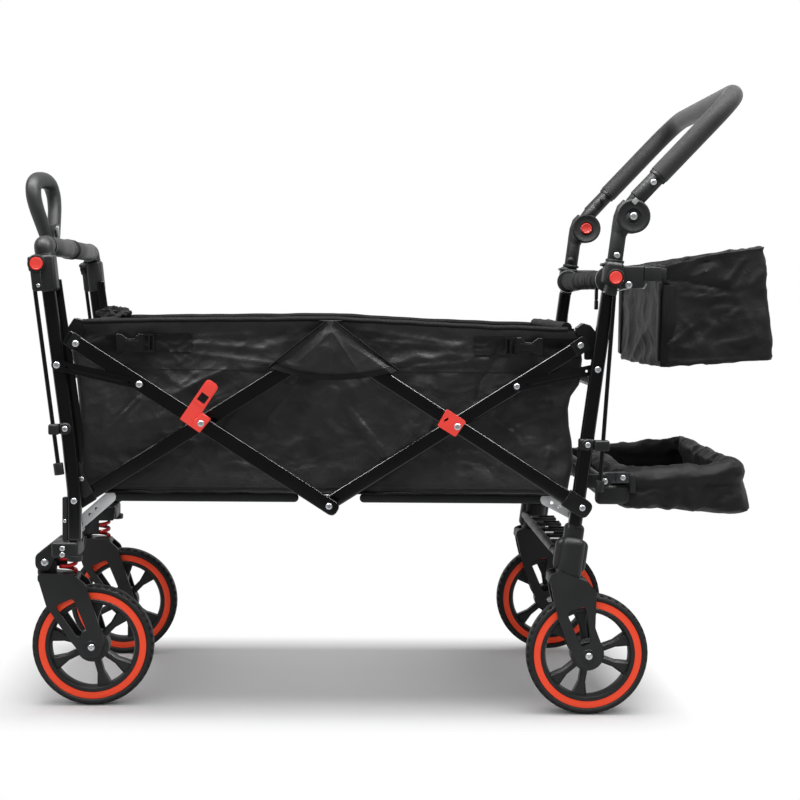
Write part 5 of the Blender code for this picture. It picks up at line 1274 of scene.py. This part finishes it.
def clothSheet(name, body, columns, rows, place, thickness, material):
    shape = bmesh.new()
    bmesh.ops.create_grid(shape, x_segments=columns, y_segments=rows, size=1.0)
    for spot in shape.verts:
        spot.co = Vector(place((spot.co.x + 1) / 2, (spot.co.y + 1) / 2))
    grown = bmesh.ops.extrude_face_region(shape, geom=shape.faces[:])["geom"]
    shape.normal_update()
    moved = {item: item.normal.copy() for item in grown if isinstance(item, bmesh.types.BMVert)}
    for item, direction in moved.items():
        item.co += direction * thickness
    return makePiece(name, [finished(shape)], body, material, (), 60)


def folding(*pieces):
    for piece in pieces:
        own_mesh(piece)


# A band sewn on the side cloth that follows its folds
def ribbon(name, side, left, right, low, high, lift, thickness, material, columns, rows):
    span = tubRear - tubFront + cornerExtra
    start, stop = ((edge - tubFront + cornerExtra / 2) / span for edge in (left, right))

    def place(u, v):
        return sideSpot(start + (stop - start) * u, low + (high - low) * v, side, lift)

    piece = clothSheet(name, "front_frame", columns, rows, place, thickness, material)
    folding(piece)
    return piece


# Side-release buckles, in millimetres from the webbing's lower edge, ladder end first
bucklePlan = {
    "body": [(17.5, -1.0, 1.5), (32.0, 0.5, 2.0), (40.0, 6.5, 2.5), (53.0, 1.8, 2.0),
             (61.0, 0.0, 1.5), (61.0, 28.5, 1.5), (53.0, 28.5, 1.0), (43.0, 20.6, 2.0),
             (33.0, 21.0, 2.0), (25.0, 28.8, 1.5), (17.5, 28.8, 1.0)],
    "ladder": [(0.0, -1.2, 1.5), (20.0, -1.2, 1.0), (20.0, 29.0, 1.0), (0.0, 29.0, 1.5)],
    "slots": [[(2.6, 2.0, 0.6), (7.0, 2.0, 0.6), (7.0, 25.8, 0.6), (2.6, 25.8, 0.6)],
              [(10.0, 2.0, 0.6), (15.0, 2.0, 0.6), (15.0, 25.8, 0.6), (10.0, 25.8, 0.6)]],
    "tongue": [(24.0, 7.6, 1.5), (48.0, 9.0, 2.0), (48.0, 17.4, 2.0), (24.0, 19.4, 1.5)]}
straps = {"front": {"webs": ((-0.502, -0.45), (-0.406, -0.3354)), "ladder": -0.393, "towards": -1},
          "rear": {"webs": ((0.128, 0.188), (0.232, 0.284)), "ladder": 0.178, "towards": 1}}
strapLow, strapHigh = 0.587, 0.615


def buckleShapes(start, towards, side):
    def drawn(outline):
        return offsets((start, strapLow), outline, 3, towards)

    back = clothFace - 0.0005
    return [plate(drawn(bucklePlan["ladder"]), back, back + 0.0062, side, 0.0012,
                  [drawn(slot) for slot in bucklePlan["slots"]], 2),
            plate(drawn(bucklePlan["body"]), back - 0.0004, back + 0.0085, side, 0.0022, (), 3),
            plate(drawn(bucklePlan["tongue"]), back + 0.007, back + 0.0096, side, 0.001, (), 2)]


for name, side in sides.items():
    def sidePlace(u, v):
        x = sideSpot(u, 0.5, side)[0]
        return sideSpot(u, tubFloor - 0.003 + (rimHeight(x) - tubFloor + 0.003) * v, side)

    cloth = clothSheet(f"tub_side_cloth_{name}", "front_frame", 330, 110, sidePlace, 0.001,
                       tubOxford)
    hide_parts(f"side_panel_{name}")
    steps = [tubFront + 0.004 + (tubRear - tubFront - 0.008) * step / 160 for step in range(161)]
    waves = [0.0022 * noise.noise(Vector((x * 22, side * 3, 1.0))) for x in steps]
    roll = sweep([(x, side * (clothFace - 0.0045), rimHeight(x) + 0.001 + wave * 0.6)
                  for x, wave in zip(steps, waves)], 0.0052, 14)
    hem = sweep([(x, side * (clothFace - 0.002), tubFloor - 0.0012 + wave)
                 for x, wave in zip(steps, reversed(waves))], 0.003, 10, None, 2.2, (0, side, 0))
    folding(cloth, makePiece(f"tub_rim_binding_{name}", [roll, hem], "front_frame", bindingTape, (),
                             60))
    seams = [ribbon(f"tub_{key}_seam_{name}", side, tubFront + 0.004, tubRear - 0.004, low, high,
                    0.0008, 0.001, tubOxford, 240, 4)
             for key, low, high in (("upper", 0.5585, 0.564), ("lower", 0.366, 0.37))]
    for end, plan in straps.items():
        for count, (left, right) in enumerate(plan["webs"]):
            web = ribbon(f"{end}_strap_{count + 1}_{name}", side, left, right, strapLow, strapHigh,
                         0.0012 if right > 0.25 else 0.003, 0.001, strapWebbing, 40, 16)
        buckle = makePiece(f"{end}_strap_buckle_{name}",
                           buckleShapes(plan["ladder"], plan["towards"], side), "front_frame",
                           glossAcetal, (), 40)
        folding(buckle)

# Padded sleeves where the rim turns the corner behind the bars' upper ends
cornerPlans = {
    "front": [(-530, 630, 4), (-523, 641, 5), (-509, 638, 4), (-503, 624, 3), (-513, 612, 2),
              (-533, 603, 3), (-538, 618, 4)],
    "rear": [(293, 632, 3), (304, 641, 5), (318, 637, 6), (328, 625, 6), (329, 604, 4),
             (325, 581, 3), (310, 580, 3), (309, 611, 4), (297, 620, 3)]}
for end, corners in cornerPlans.items():
    guards = []
    for side in sides.values():
        outline = offsets((0, 0), corners)
        guards.append(plate(outline, 0.2225, 0.2385, side, 0.0044, (), 4))
    makePiece(f"tub_{end}_corner_sleeves", guards, f"{end}_frame", glossAcetal)

for end, x, body in (("front", tubFront, "front_frame"), ("rear", tubRear, "rear_frame")):
    inward = 1 if end == "front" else -1
    flare = frontFlare if end == "front" else rearFlare

    def endPlace(u, v):
        y = (u * 2 - 1) * 0.231
        z = tubFloor + (0.631 - tubFloor) * v
        hold = max(0.0, min(1.0, v / 0.06, (1 - v) / 0.05, (1 - abs(u * 2 - 1)) / 0.08))
        depth = max(0.0, 0.004 - folds(Vector((y, z, 0.0)), 5.3 + inward, tubSizes))
        corner = float(np.interp(z, *flare)) * eased((abs(u * 2 - 1) - 0.7) / 0.3)
        return x + inward * (0.002 + depth * hold - corner), y, z

    panel = clothSheet(f"tub_{end}_cloth", body, 150, 84, endPlace, 0.0012, tubOxford)
    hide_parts(f"{end}_panel")
    radius = 0.0088 if end == "rear" else 0.0056
    path = [(x + inward * 0.0045, -0.227 + 0.454 * step / 60,
             0.6325 + 0.0012 * noise.noise(Vector((step * 0.35, inward, 0)))) for step in range(61)]
    roll = sweep(path, radius, 20,
                 [1 + 0.1 * noise.noise(Vector((step * 0.8, inward, 4))) for step in range(61)])
    makePiece(f"tub_{end}_rim_roll", [roll], body, bindingTape, (), 60)

# The gathered end of the far rim, tied round the frame
gather = lathe([(0.0, -0.033)] + [(0.0135 * math.sin(math.pi * (0.12 + 0.8 * step / 40)),
                                   -0.032 + 0.064 * step / 40) for step in range(41)]
               + [(0.0, 0.033)], (0, 0, 0), 48)
for spot in gather.verts:
    spot.co += spot.co.normalized() * folds(spot.co, 4.0, ((0.016, 0.007), (0.007, 0.0022)))
turned(finished(gather), Matrix.Translation((-0.517, 0.222, 0.642))
       @ Matrix.Rotation(math.pi / 2, 4, "Z"))
makePiece("tub_rim_gathers", [gather], "front_frame", bagOxford, (), 60)
print("tub made")


# Flap over the middle pivot: a stiff tent from the rim over both bars' ends
def insideBar(x, z, start, end, radius):
    start, end, spot = Vector(start), Vector(end), Vector((x, z))
    share = max(0.0, min(1.0, (spot - start).dot(end - start) / (end - start).length_squared))
    return (spot - (start + (end - start) * share)).length < radius


flapPlan = {"top": 0.6405, "left": (-0.208, 0.5645), "right": (0.0035, 0.562), "low": 0.5455,
            "out": 0.288, "edge": 0.2412, "bar": 0.0155, "pivot": 0.017, "drawn": 1500,
            "rounded": 14}


# Each spot's mean with its neighbours, so that the cloth draws tight over what it lies on
def neighbourMean(depth):
    padded = np.pad(depth, 1, mode="edge")
    return (padded[:-2, 1:-1] + padded[2:, 1:-1] + padded[1:-1, :-2] + padded[1:-1, 2:]) / 4


def flapGrid(columns, rows):
    left, right = flapPlan["left"], flapPlan["right"]
    spots = np.zeros((rows + 1, columns + 1, 3))
    floor = np.zeros((rows + 1, columns + 1))
    for row in range(rows + 1):
        for column in range(columns + 1):
            u, v = column / columns * 2 - 1, row / rows
            corner = left if u < 0 else right
            reach = abs(corner[0] - middleX)
            x = middleX + u * (0.006 + (reach - 0.006) * v)
            foot = flapPlan["low"] + (corner[1] - flapPlan["low"]) * abs(u) ** 1.9
            z = flapPlan["top"] + (foot - flapPlan["top"]) * v
            level = flapPlan["edge"]
            if insideBar(x, z, lowFront, highMiddle, flapPlan["bar"]):
                level = innerBar[1] + 0.0016
            if insideBar(x, z, lowRear, highMiddle, flapPlan["bar"]):
                level = outerBar[1] + 0.0016
            if math.hypot(x - highMiddle[0], z - highMiddle[1]) < flapPlan["pivot"]:
                level = flapPlan["out"]
            spots[row, column] = (x, level, z)
            floor[row, column] = level
    share = np.linspace(0, 1, rows + 1)
    left, right = (flapPlan["out"] - 0.003 - fall * share ** bow
                   for fall, bow in ((0.04, 1.0), (0.018, 2.5)))
    depth = np.maximum(floor, flapPlan["edge"])
    for step in range(flapPlan["drawn"]):
        depth = np.maximum(floor, neighbourMean(depth))
        depth[0, :] = flapPlan["out"] - 0.003
        depth[:, 0] = np.maximum(left, floor[:, 0])
        depth[:, -1] = np.maximum(right, floor[:, -1])
    for step in range(flapPlan["rounded"]):  # stiff cloth rounds off what it lies on
        depth = np.maximum(neighbourMean(depth), floor + 0.0002)
    spots[:, :, 1] = depth
    return spots


flapSpots = flapGrid(96, 56)
flapCreases = [(-106, 632, -105, 556, 2.5, 1.4), (-108, 622, -160, 572, 2.5, 1.5),
               (-104, 622, -66, 566, 2.5, 1.5), (-112, 600, -140, 560, 6, 1.2),
               (-190, 572, -150, 566, 4, 1.0), (-40, 590, -20, 572, 4, 1.2)]


def flapPlace(side, lift=0.0):
    rows, columns = flapSpots.shape[0] - 1, flapSpots.shape[1] - 1

    def place(u, v):
        row, column = v * rows, u * columns
        r, c = min(int(row), rows - 1), min(int(column), columns - 1)
        down, along = row - r, column - c
        x, y, z = ((flapSpots[r, c] * (1 - along) + flapSpots[r, c + 1] * along) * (1 - down)
                   + (flapSpots[r + 1, c] * (1 - along) + flapSpots[r + 1, c + 1] * along) * down)
        y += creased(x, z, flapCreases) + folds(Vector((x, z, 0)), 2.0 + side, ((0.03, 0.0009),))
        return x, side * (y + 0.0006 + lift), z
    return place


# The small piece that closes the gap between the flap's top and the rim
def roofPlace(side):
    def place(u, v):
        return (middleX + (u * 2 - 1) * (0.006 + 0.014 * (1 - v)),
                side * (clothFace - 0.003 + (flapPlan["out"] - clothFace) * v),
                rimHeight(middleX) - 0.0006)
    return place


for name, side in sides.items():
    sheet = clothSheet(f"pivot_flap_{name}", "front_frame", 96, 56, flapPlace(side), 0.0011,
                       tubOxford)
    over = flapPlace(side, 0.0024)
    band = clothSheet(f"pivot_flap_{name}_binding", "front_frame", 96, 6,
                      lambda u, v: over(u, 0.9 + 0.1 * v), 0.001, bindingTape)
    roof = clothSheet(f"pivot_flap_roof_{name}", "front_frame", 8, 16, roofPlace(side), 0.001,
                      tubOxford)
    edges = [sweep([over(u, step / 40) for step in range(41)], 0.0016, 8) for u in (0.004, 0.996)]
    piping = makePiece(f"pivot_flap_{name}_piping", edges, "front_frame", bindingTape, (), 60)
    folding(sheet, band, roof, piping)
print("flaps made")


# Rear bag and foot tray: sewn shells, lofted from a profile that goes up outside and down inside
def roundedRing(front, rear, half, corner, pitch, count=8):
    points = []
    centres = ((rear - corner, half - corner), (front + corner, half - corner),
               (front + corner, -half + corner), (rear - corner, -half + corner))
    for quarter, (centreX, centreY) in enumerate(centres):
        for step in range(count + 1):
            angle = math.radians(90 * quarter + 90 * step / count)
            points.append(Vector((centreX + corner * math.cos(angle),
                                  centreY + corner * math.sin(angle), 0.0)))
    filled = []
    for here, after in zip(points, points[1:] + points[:1]):
        pieces = max(1, round((after - here).length / pitch))
        filled += [here.lerp(after, step / pieces) for step in range(pieces)]
    return filled


# Rings over the profile: how far in, how high between foot and rim, outside or inside
def shell(plan):
    shape, rings, sides = bmesh.new(), [], {}
    flat = roundedRing(plan["front"], plan["rear"], plan["half"], plan["corner"], plan["pitch"])
    profile = [plan["profile"][0]]
    for here, after in zip(plan["profile"], plan["profile"][1:]):
        tall = plan["high"] - plan["low"]
        gap = math.hypot(after[0] - here[0], (after[1] - here[1]) * tall)
        pieces = max(1, round(gap / plan["pitch"]))
        profile += [tuple(h + (a - h) * step / pieces for h, a in zip(here, after))
                    for step in range(1, pieces + 1)]
    for inset, level, way in [(0.09, profile[0][1], -1.0), (0.04, profile[0][1], 1.0)] + profile:
        ring = []
        for spot in flat:
            shareX = (spot.x - plan["front"]) / (plan["rear"] - plan["front"])
            rear = plan["rear"] + plan["flare"] * (1 - level)
            x = plan["front"] + inset + shareX * (rear - plan["front"] - 2 * inset)
            y = spot.y * (plan["half"] - inset) / plan["half"]
            shareX = (x - plan["front"]) / (plan["rear"] - plan["front"])
            low = plan["low"] + plan["fall"] * shareX
            z = low + (plan["high"] + plan["rise"] * shareX - low) * level
            vert = shape.verts.new((x, y, z))
            sides[vert] = way
            ring.append(vert)
        rings.append(ring)
    for low, high in zip(rings, rings[1:]):
        for a, b, c, d in zip(low, low[1:] + low[:1], high[1:] + high[:1], high):
            shape.faces.new((a, b, c, d))
    shape.faces.new(list(reversed(rings[0])))
    shape.faces.new(rings[-1])
    bmesh.ops.recalc_face_normals(shape, faces=shape.faces)
    shape.normal_update()
    moves = {}
    for vert, way in sides.items():
        x, y, z = vert.co
        face = abs(y) > plan["half"] - plan["reach"]
        broad = Vector((x, y * (1.0 if face else 0.55), z))
        height = folds(broad, plan["seed"], plan["sizes"]) - plan["settle"]
        if face:
            height += creased(x, z, plan["creases"])
        moves[vert] = vert.normal * height * way
    for vert, move in moves.items():
        vert.co += move
    return finished(shape)


bagPlan = {"front": 0.4395, "rear": 0.612, "half": 0.212, "low": 0.5655, "high": 0.7385,
           "rise": 0.0345, "fall": 0.015, "flare": 0.0185, "corner": 0.014, "pitch": 0.004,
           "reach": 0.012, "seed": 2.0, "settle": 0.0016,
           "profile": [(0.01, 0.0, 1.0), (0.003, 0.004, 1.0), (0.0, 0.03, 1.0), (0.0, 0.95, 1.0),
                       (-0.0015, 0.975, 1.0), (-0.0005, 0.995, 1.0), (0.003, 1.0, 1.0),
                       (0.0065, 0.99, 0.5), (0.007, 0.95, -1.0), (0.007, 0.06, -1.0),
                       (0.03, 0.05, -1.0), (0.08, 0.05, -1.0)],
           "sizes": ((0.085, 0.0052), (0.04, 0.0022), (0.015, 0.0005)),
           "creases": [(440, 716, 480, 713, 4, -4.2), (480, 713, 548, 698, 4, -5.2),
                       (484, 716, 530, 735, 3.5, 3.8), (503, 741, 560, 760, 3.5, -3.4),
                       (545, 708, 578, 752, 4, 4.6), (566, 704, 590, 742, 4, 2.6),
                       (444, 684, 490, 634, 3.5, 4.4), (462, 666, 514, 618, 3.5, -3.4),
                       (446, 600, 500, 642, 4, 5.0), (512, 618, 532, 641, 3.5, 4.2),
                       (500, 650, 530, 640, 3, 2.6), (524, 664, 556, 668, 3, 3.6),
                       (552, 655, 572, 666, 3, 3.8), (444, 691, 575, 695, 1.8, -2.2),
                       (448, 583, 612, 588, 2, -2.4), (560, 700, 588, 640, 5, 3.4),
                       (530, 606, 592, 618, 4, 3.8), (590, 640, 604, 610, 5, 3.0),
                       (480, 752, 560, 766, 5, 2.6)]}
trayPlan = {"front": 0.369, "rear": 0.577, "half": 0.237, "low": 0.34, "high": 0.402,
            "rise": 0.021, "fall": -0.009, "flare": 0.0175, "corner": 0.022, "pitch": 0.0045,
            "reach": 0.02, "seed": 6.0, "settle": 0.0004,
            "profile": [(0.012, 0.0, 1.0), (0.003, 0.01, 1.0), (0.0, 0.06, 1.0),
                        (0.0025, 0.34, 1.0), (0.005, 0.52, 1.0), (0.0065, 0.545, 1.0),
                        (0.003, 0.575, 1.0), (-0.001, 0.7, 1.0), (0.0005, 0.86, 1.0),
                        (0.0055, 0.97, 1.0), (0.012, 1.0, 1.0), (0.019, 0.95, 1.0),
                        (0.024, 0.82, 1.0), (0.0245, 0.66, 1.0), (0.0215, 0.54, 0.0),
                        (0.02, 0.2, -0.5), (0.03, 0.17, -0.5), (0.085, 0.17, -0.5)],
            "sizes": ((0.06, 0.0032), (0.026, 0.002), (0.011, 0.0009)),
            "creases": [(430, 356, 470, 349, 4, 2.6), (480, 356, 500, 342, 4, 2.6),
                        (520, 368, 560, 356, 4, -2.6), (540, 342, 580, 356, 4, 2.6),
                        (440, 396, 470, 393, 4, 1.8), (500, 400, 560, 408, 6, 2.0)]}


puffPlan = {"voxel": 0.0045, "pressure": 3.0, "stiffness": 24, "frames": 20, "cap": 0.006}


# Blows a padded piece up as cloth and keeps the result, no point moving past the cap
def puffed(piece, plan):
    mesh = piece.data
    scratch = bpy.data.objects.new("puffing", mesh.copy())
    bpy.context.scene.collection.objects.link(scratch)
    remesh = scratch.modifiers.new("remesh", "REMESH")
    remesh.mode, remesh.voxel_size = "VOXEL", plan["voxel"]
    graph = bpy.context.evaluated_depsgraph_get()
    solid = bpy.data.meshes.new_from_object(scratch.evaluated_get(graph))
    scratch.modifiers.clear()
    scratch.data = solid
    start = np.array([tuple(vert.co) for vert in solid.vertices])
    cloth = scratch.modifiers.new("cloth", "CLOTH")
    cloth.settings.use_pressure = True
    cloth.settings.uniform_pressure_force = plan["pressure"]
    cloth.settings.effector_weights.gravity = 0.0
    cloth.settings.tension_stiffness = cloth.settings.compression_stiffness = plan["stiffness"]
    for frame in range(1, plan["frames"] + 1):
        bpy.context.scene.frame_set(frame)
    graph = bpy.context.evaluated_depsgraph_get()
    blown = scratch.evaluated_get(graph).to_mesh()
    ends = np.array([tuple(vert.co) for vert in blown.vertices])
    scratch.evaluated_get(graph).to_mesh_clear()
    move = ends - start
    length = np.linalg.norm(move, axis=1, keepdims=True)
    ends = start + move * np.minimum(1.0, plan["cap"] / np.maximum(length, 1e-9))
    scratch.modifiers.clear()
    for vert, place in zip(solid.vertices, ends):
        vert.co = place
    bpy.context.scene.frame_set(1)
    for face in solid.polygons:
        face.use_smooth = True
    solid.materials.clear()
    for material in mesh.materials:
        solid.materials.append(material)
    piece.data = solid
    bpy.data.objects.remove(scratch)


bag = makePiece("rear_bag_shell", [shell(bagPlan)], "rear_frame", bagOxford, ("rear_bag",), 60)
bagBand = [(440.5, 704, 3), (459, 704, 3), (464, 640, 3), (454, 600, 3), (447, 572, 3),
           (438, 578, 3), (440.5, 640, 3)]
lugs, webs = [], []
for side in sides.values():
    lugs.append(box((0.014, 0.043, 0.018), (0.4315, side * 0.2335, 0.7225), 0.0, 0.0024))
    webs.append(plate(offsets((0, 0), bagBand, 3), 0.2085, 0.214, side, 0.0012, (), 2))
    webs.append(box((0.005, 0.024, 0.13), (0.4385, side * 0.196, 0.643), 0.0, 0.0016))
makePiece("rear_bag_lugs", lugs, "rear_frame", mouldedNylon)
makePiece("rear_bag_webs", webs, "rear_frame", strapWebbing)
loops = [sweep([(0.356, side * 0.26, 0.694), (0.369, side * 0.2625, 0.697),
                (0.383, side * 0.263, 0.7005), (0.401, side * 0.26, 0.699),
                (0.405, side * 0.259, 0.706)], 0.0013, 10) for side in sides.values()]
makePiece("rear_bag_wire", loops, "rear_frame", brightZinc)
tray = makePiece("foot_tray_pad", [shell(trayPlan)], "foot_tray", bagOxford, ("foot_tray",), 60)
puffed(tray, puffPlan)
arms = [across(*trayHinge, 1, -0.2295, 0.2295, 0.0065, sides=24),
        rod((0.352, -0.215, 0.36), (0.352, 0.215, 0.36), 0.013, sides=32)]
brackets, bolts = [], []
for side in sides.values():
    arms.append(plate(capsule(trayHinge, (0.392, 0.386), 0.0105), 0.218, 0.228, side, 0.003, (), 3))
    arms.append(box((0.011, 0.032, 0.03), (0.3925, side * 0.223, 0.376), 0.0, 0.0024))
    arms.append(box((0.06, 0.02, 0.034), (0.362, side * 0.224, 0.358), 0.0, 0.0085, 4))
    brackets.append(box((0.038, 0.006, 0.0175), (0.369, side * 0.23, 0.3855), 0.0, 0.0016))
    brackets.append(box((0.023, 0.006, 0.0175), (0.376, side * 0.234, 0.3865), 0.0, 0.0016))
    bolts.append(bolt(0.376, 0.3865, side, 0.2368, 0.0048, 0.0024))
makePiece("foot_tray_arms", arms, "foot_tray", mouldedNylon)
makePiece("foot_tray_brackets", brackets, "foot_tray", greyAnodised)
makePiece("foot_tray_bolts", bolts, "foot_tray", brightZinc)
print("bag and tray made")


# Light, floor and background. The room behind the camera is dim, as in a studio, so that gloss
# facing it stays black; only the backdrop and the ceiling strip shine in it.
def areaLight(name, place, aim, size, power, diffuse=True, glossy=True):
    data = bpy.data.lights.new(name, "AREA")
    data.shape = "RECTANGLE"
    data.size, data.size_y = size
    data.energy = power
    lamp = bpy.data.objects.new(name, data)
    bpy.context.scene.collection.objects.link(lamp)
    turn = (Vector(aim) - Vector(place)).to_track_quat("-Z", "Y").to_matrix().to_4x4()
    lamp.matrix_world = Matrix.Translation(place) @ turn
    lamp.visible_diffuse = diffuse
    lamp.visible_glossy = glossy


areaLight("overhead_softbox", (-0.1, -0.35, 2.4), (-0.1, -0.05, 0.5), (2.8, 0.9), 34)
areaLight("ceiling_strip", (-0.1, -0.75, 2.1), (-0.1, -0.25, 0.45), (3.8, 0.3), 150, False)
areaLight("front_fill", (-0.6, -3.2, 2.1), (-0.1, 0.0, 0.45), (2.6, 1.4), 20, True, False)


def sumOf(tree, *sources):
    total = sources[0]
    for source in sources[1:]:
        total = addNode(tree, "Math", {"operation": "ADD"}, {0: total, 1: source}).outputs[0]
    return total


# What is taken off for a glossy ray that looks into the dim side of the room
def dimmed(tree, seen, towards, low, start, stop):
    loss = ramp(tree, towards, low, 0.0, start, stop)
    return addNode(tree, "Math", {"operation": "MULTIPLY"},
                   {0: loss, 1: seen.outputs["Is Glossy Ray"]}).outputs[0]


world = bpy.data.worlds.new("white_studio")
bpy.context.scene.world = world
world.use_nodes = True
tree = world.node_tree
sky = tree.nodes["Background"]
sky.inputs["Color"].default_value = (1.0, 1.0, 1.0, 1.0)
seen = addNode(tree, "LightPath")
either = sumOf(tree, seen.outputs["Is Camera Ray"], seen.outputs["Is Glossy Ray"],
               seen.outputs["Is Transmission Ray"])
heading = addNode(tree, "SeparateXYZ", {}, {0: addNode(tree, "TexCoord").outputs["Generated"]})
tree.links.new(sumOf(tree, ramp(tree, either, 0.55, 1.0),
                     dimmed(tree, seen, heading.outputs["Y"], -0.9, -0.45, 0.3)),
               sky.inputs["Strength"])

ground = bmesh.new()
bmesh.ops.create_grid(ground, x_segments=2, y_segments=2, size=30.0)
material, tree, shader, spot = newMaterial("white_sweep",
                                           {"Base Color": "#F2F2F3", "Roughness": 0.9,
                                            "Specular IOR Level": 0.0})
place = addNode(tree, "SeparateXYZ", {}, {0: spot})
footprint = {"X": (-0.105, 0.47), "Y": (-0.02, 0.25)}
beyond = []
for axis, (centre, half) in footprint.items():
    away = addNode(tree, "Math", {"operation": "SUBTRACT", 1: centre}, {0: place.outputs[axis]})
    size = addNode(tree, "Math", {"operation": "ABSOLUTE"}, {0: away.outputs[0]})
    beyond.append(addNode(tree, "Math", {"operation": "SUBTRACT", 1: half, "use_clamp": True},
                          {0: size.outputs[0]}).outputs[0])
edge = addNode(tree, "CombineXYZ", {}, {"X": beyond[0], "Y": beyond[1]}).outputs[0]
distance = addNode(tree, "VectorMath", {"operation": "LENGTH"}, {0: edge}).outputs["Value"]
fade = ramp(tree, distance, 0.0, 1.0, 0.0, 0.13)
seen = addNode(tree, "LightPath")
whole = addNode(tree, "Value")
whole.outputs[0].default_value = 1.0
strength = sumOf(tree, whole.outputs[0], dimmed(tree, seen, place.outputs["Y"], -0.88, -1.6, -0.4))
white = addNode(tree, "Emission", {"Color": (1.0, 1.0, 1.0, 1.0)}, {"Strength": strength})
mixed = addNode(tree, "MixShader", {}, {0: fade, 1: shader.outputs[0], 2: white.outputs[0]})
tree.links.new(mixed.outputs[0], tree.nodes["Material Output"].inputs["Surface"])
floorPiece = link("studio_floor", ground, material)
print("light and floor made")
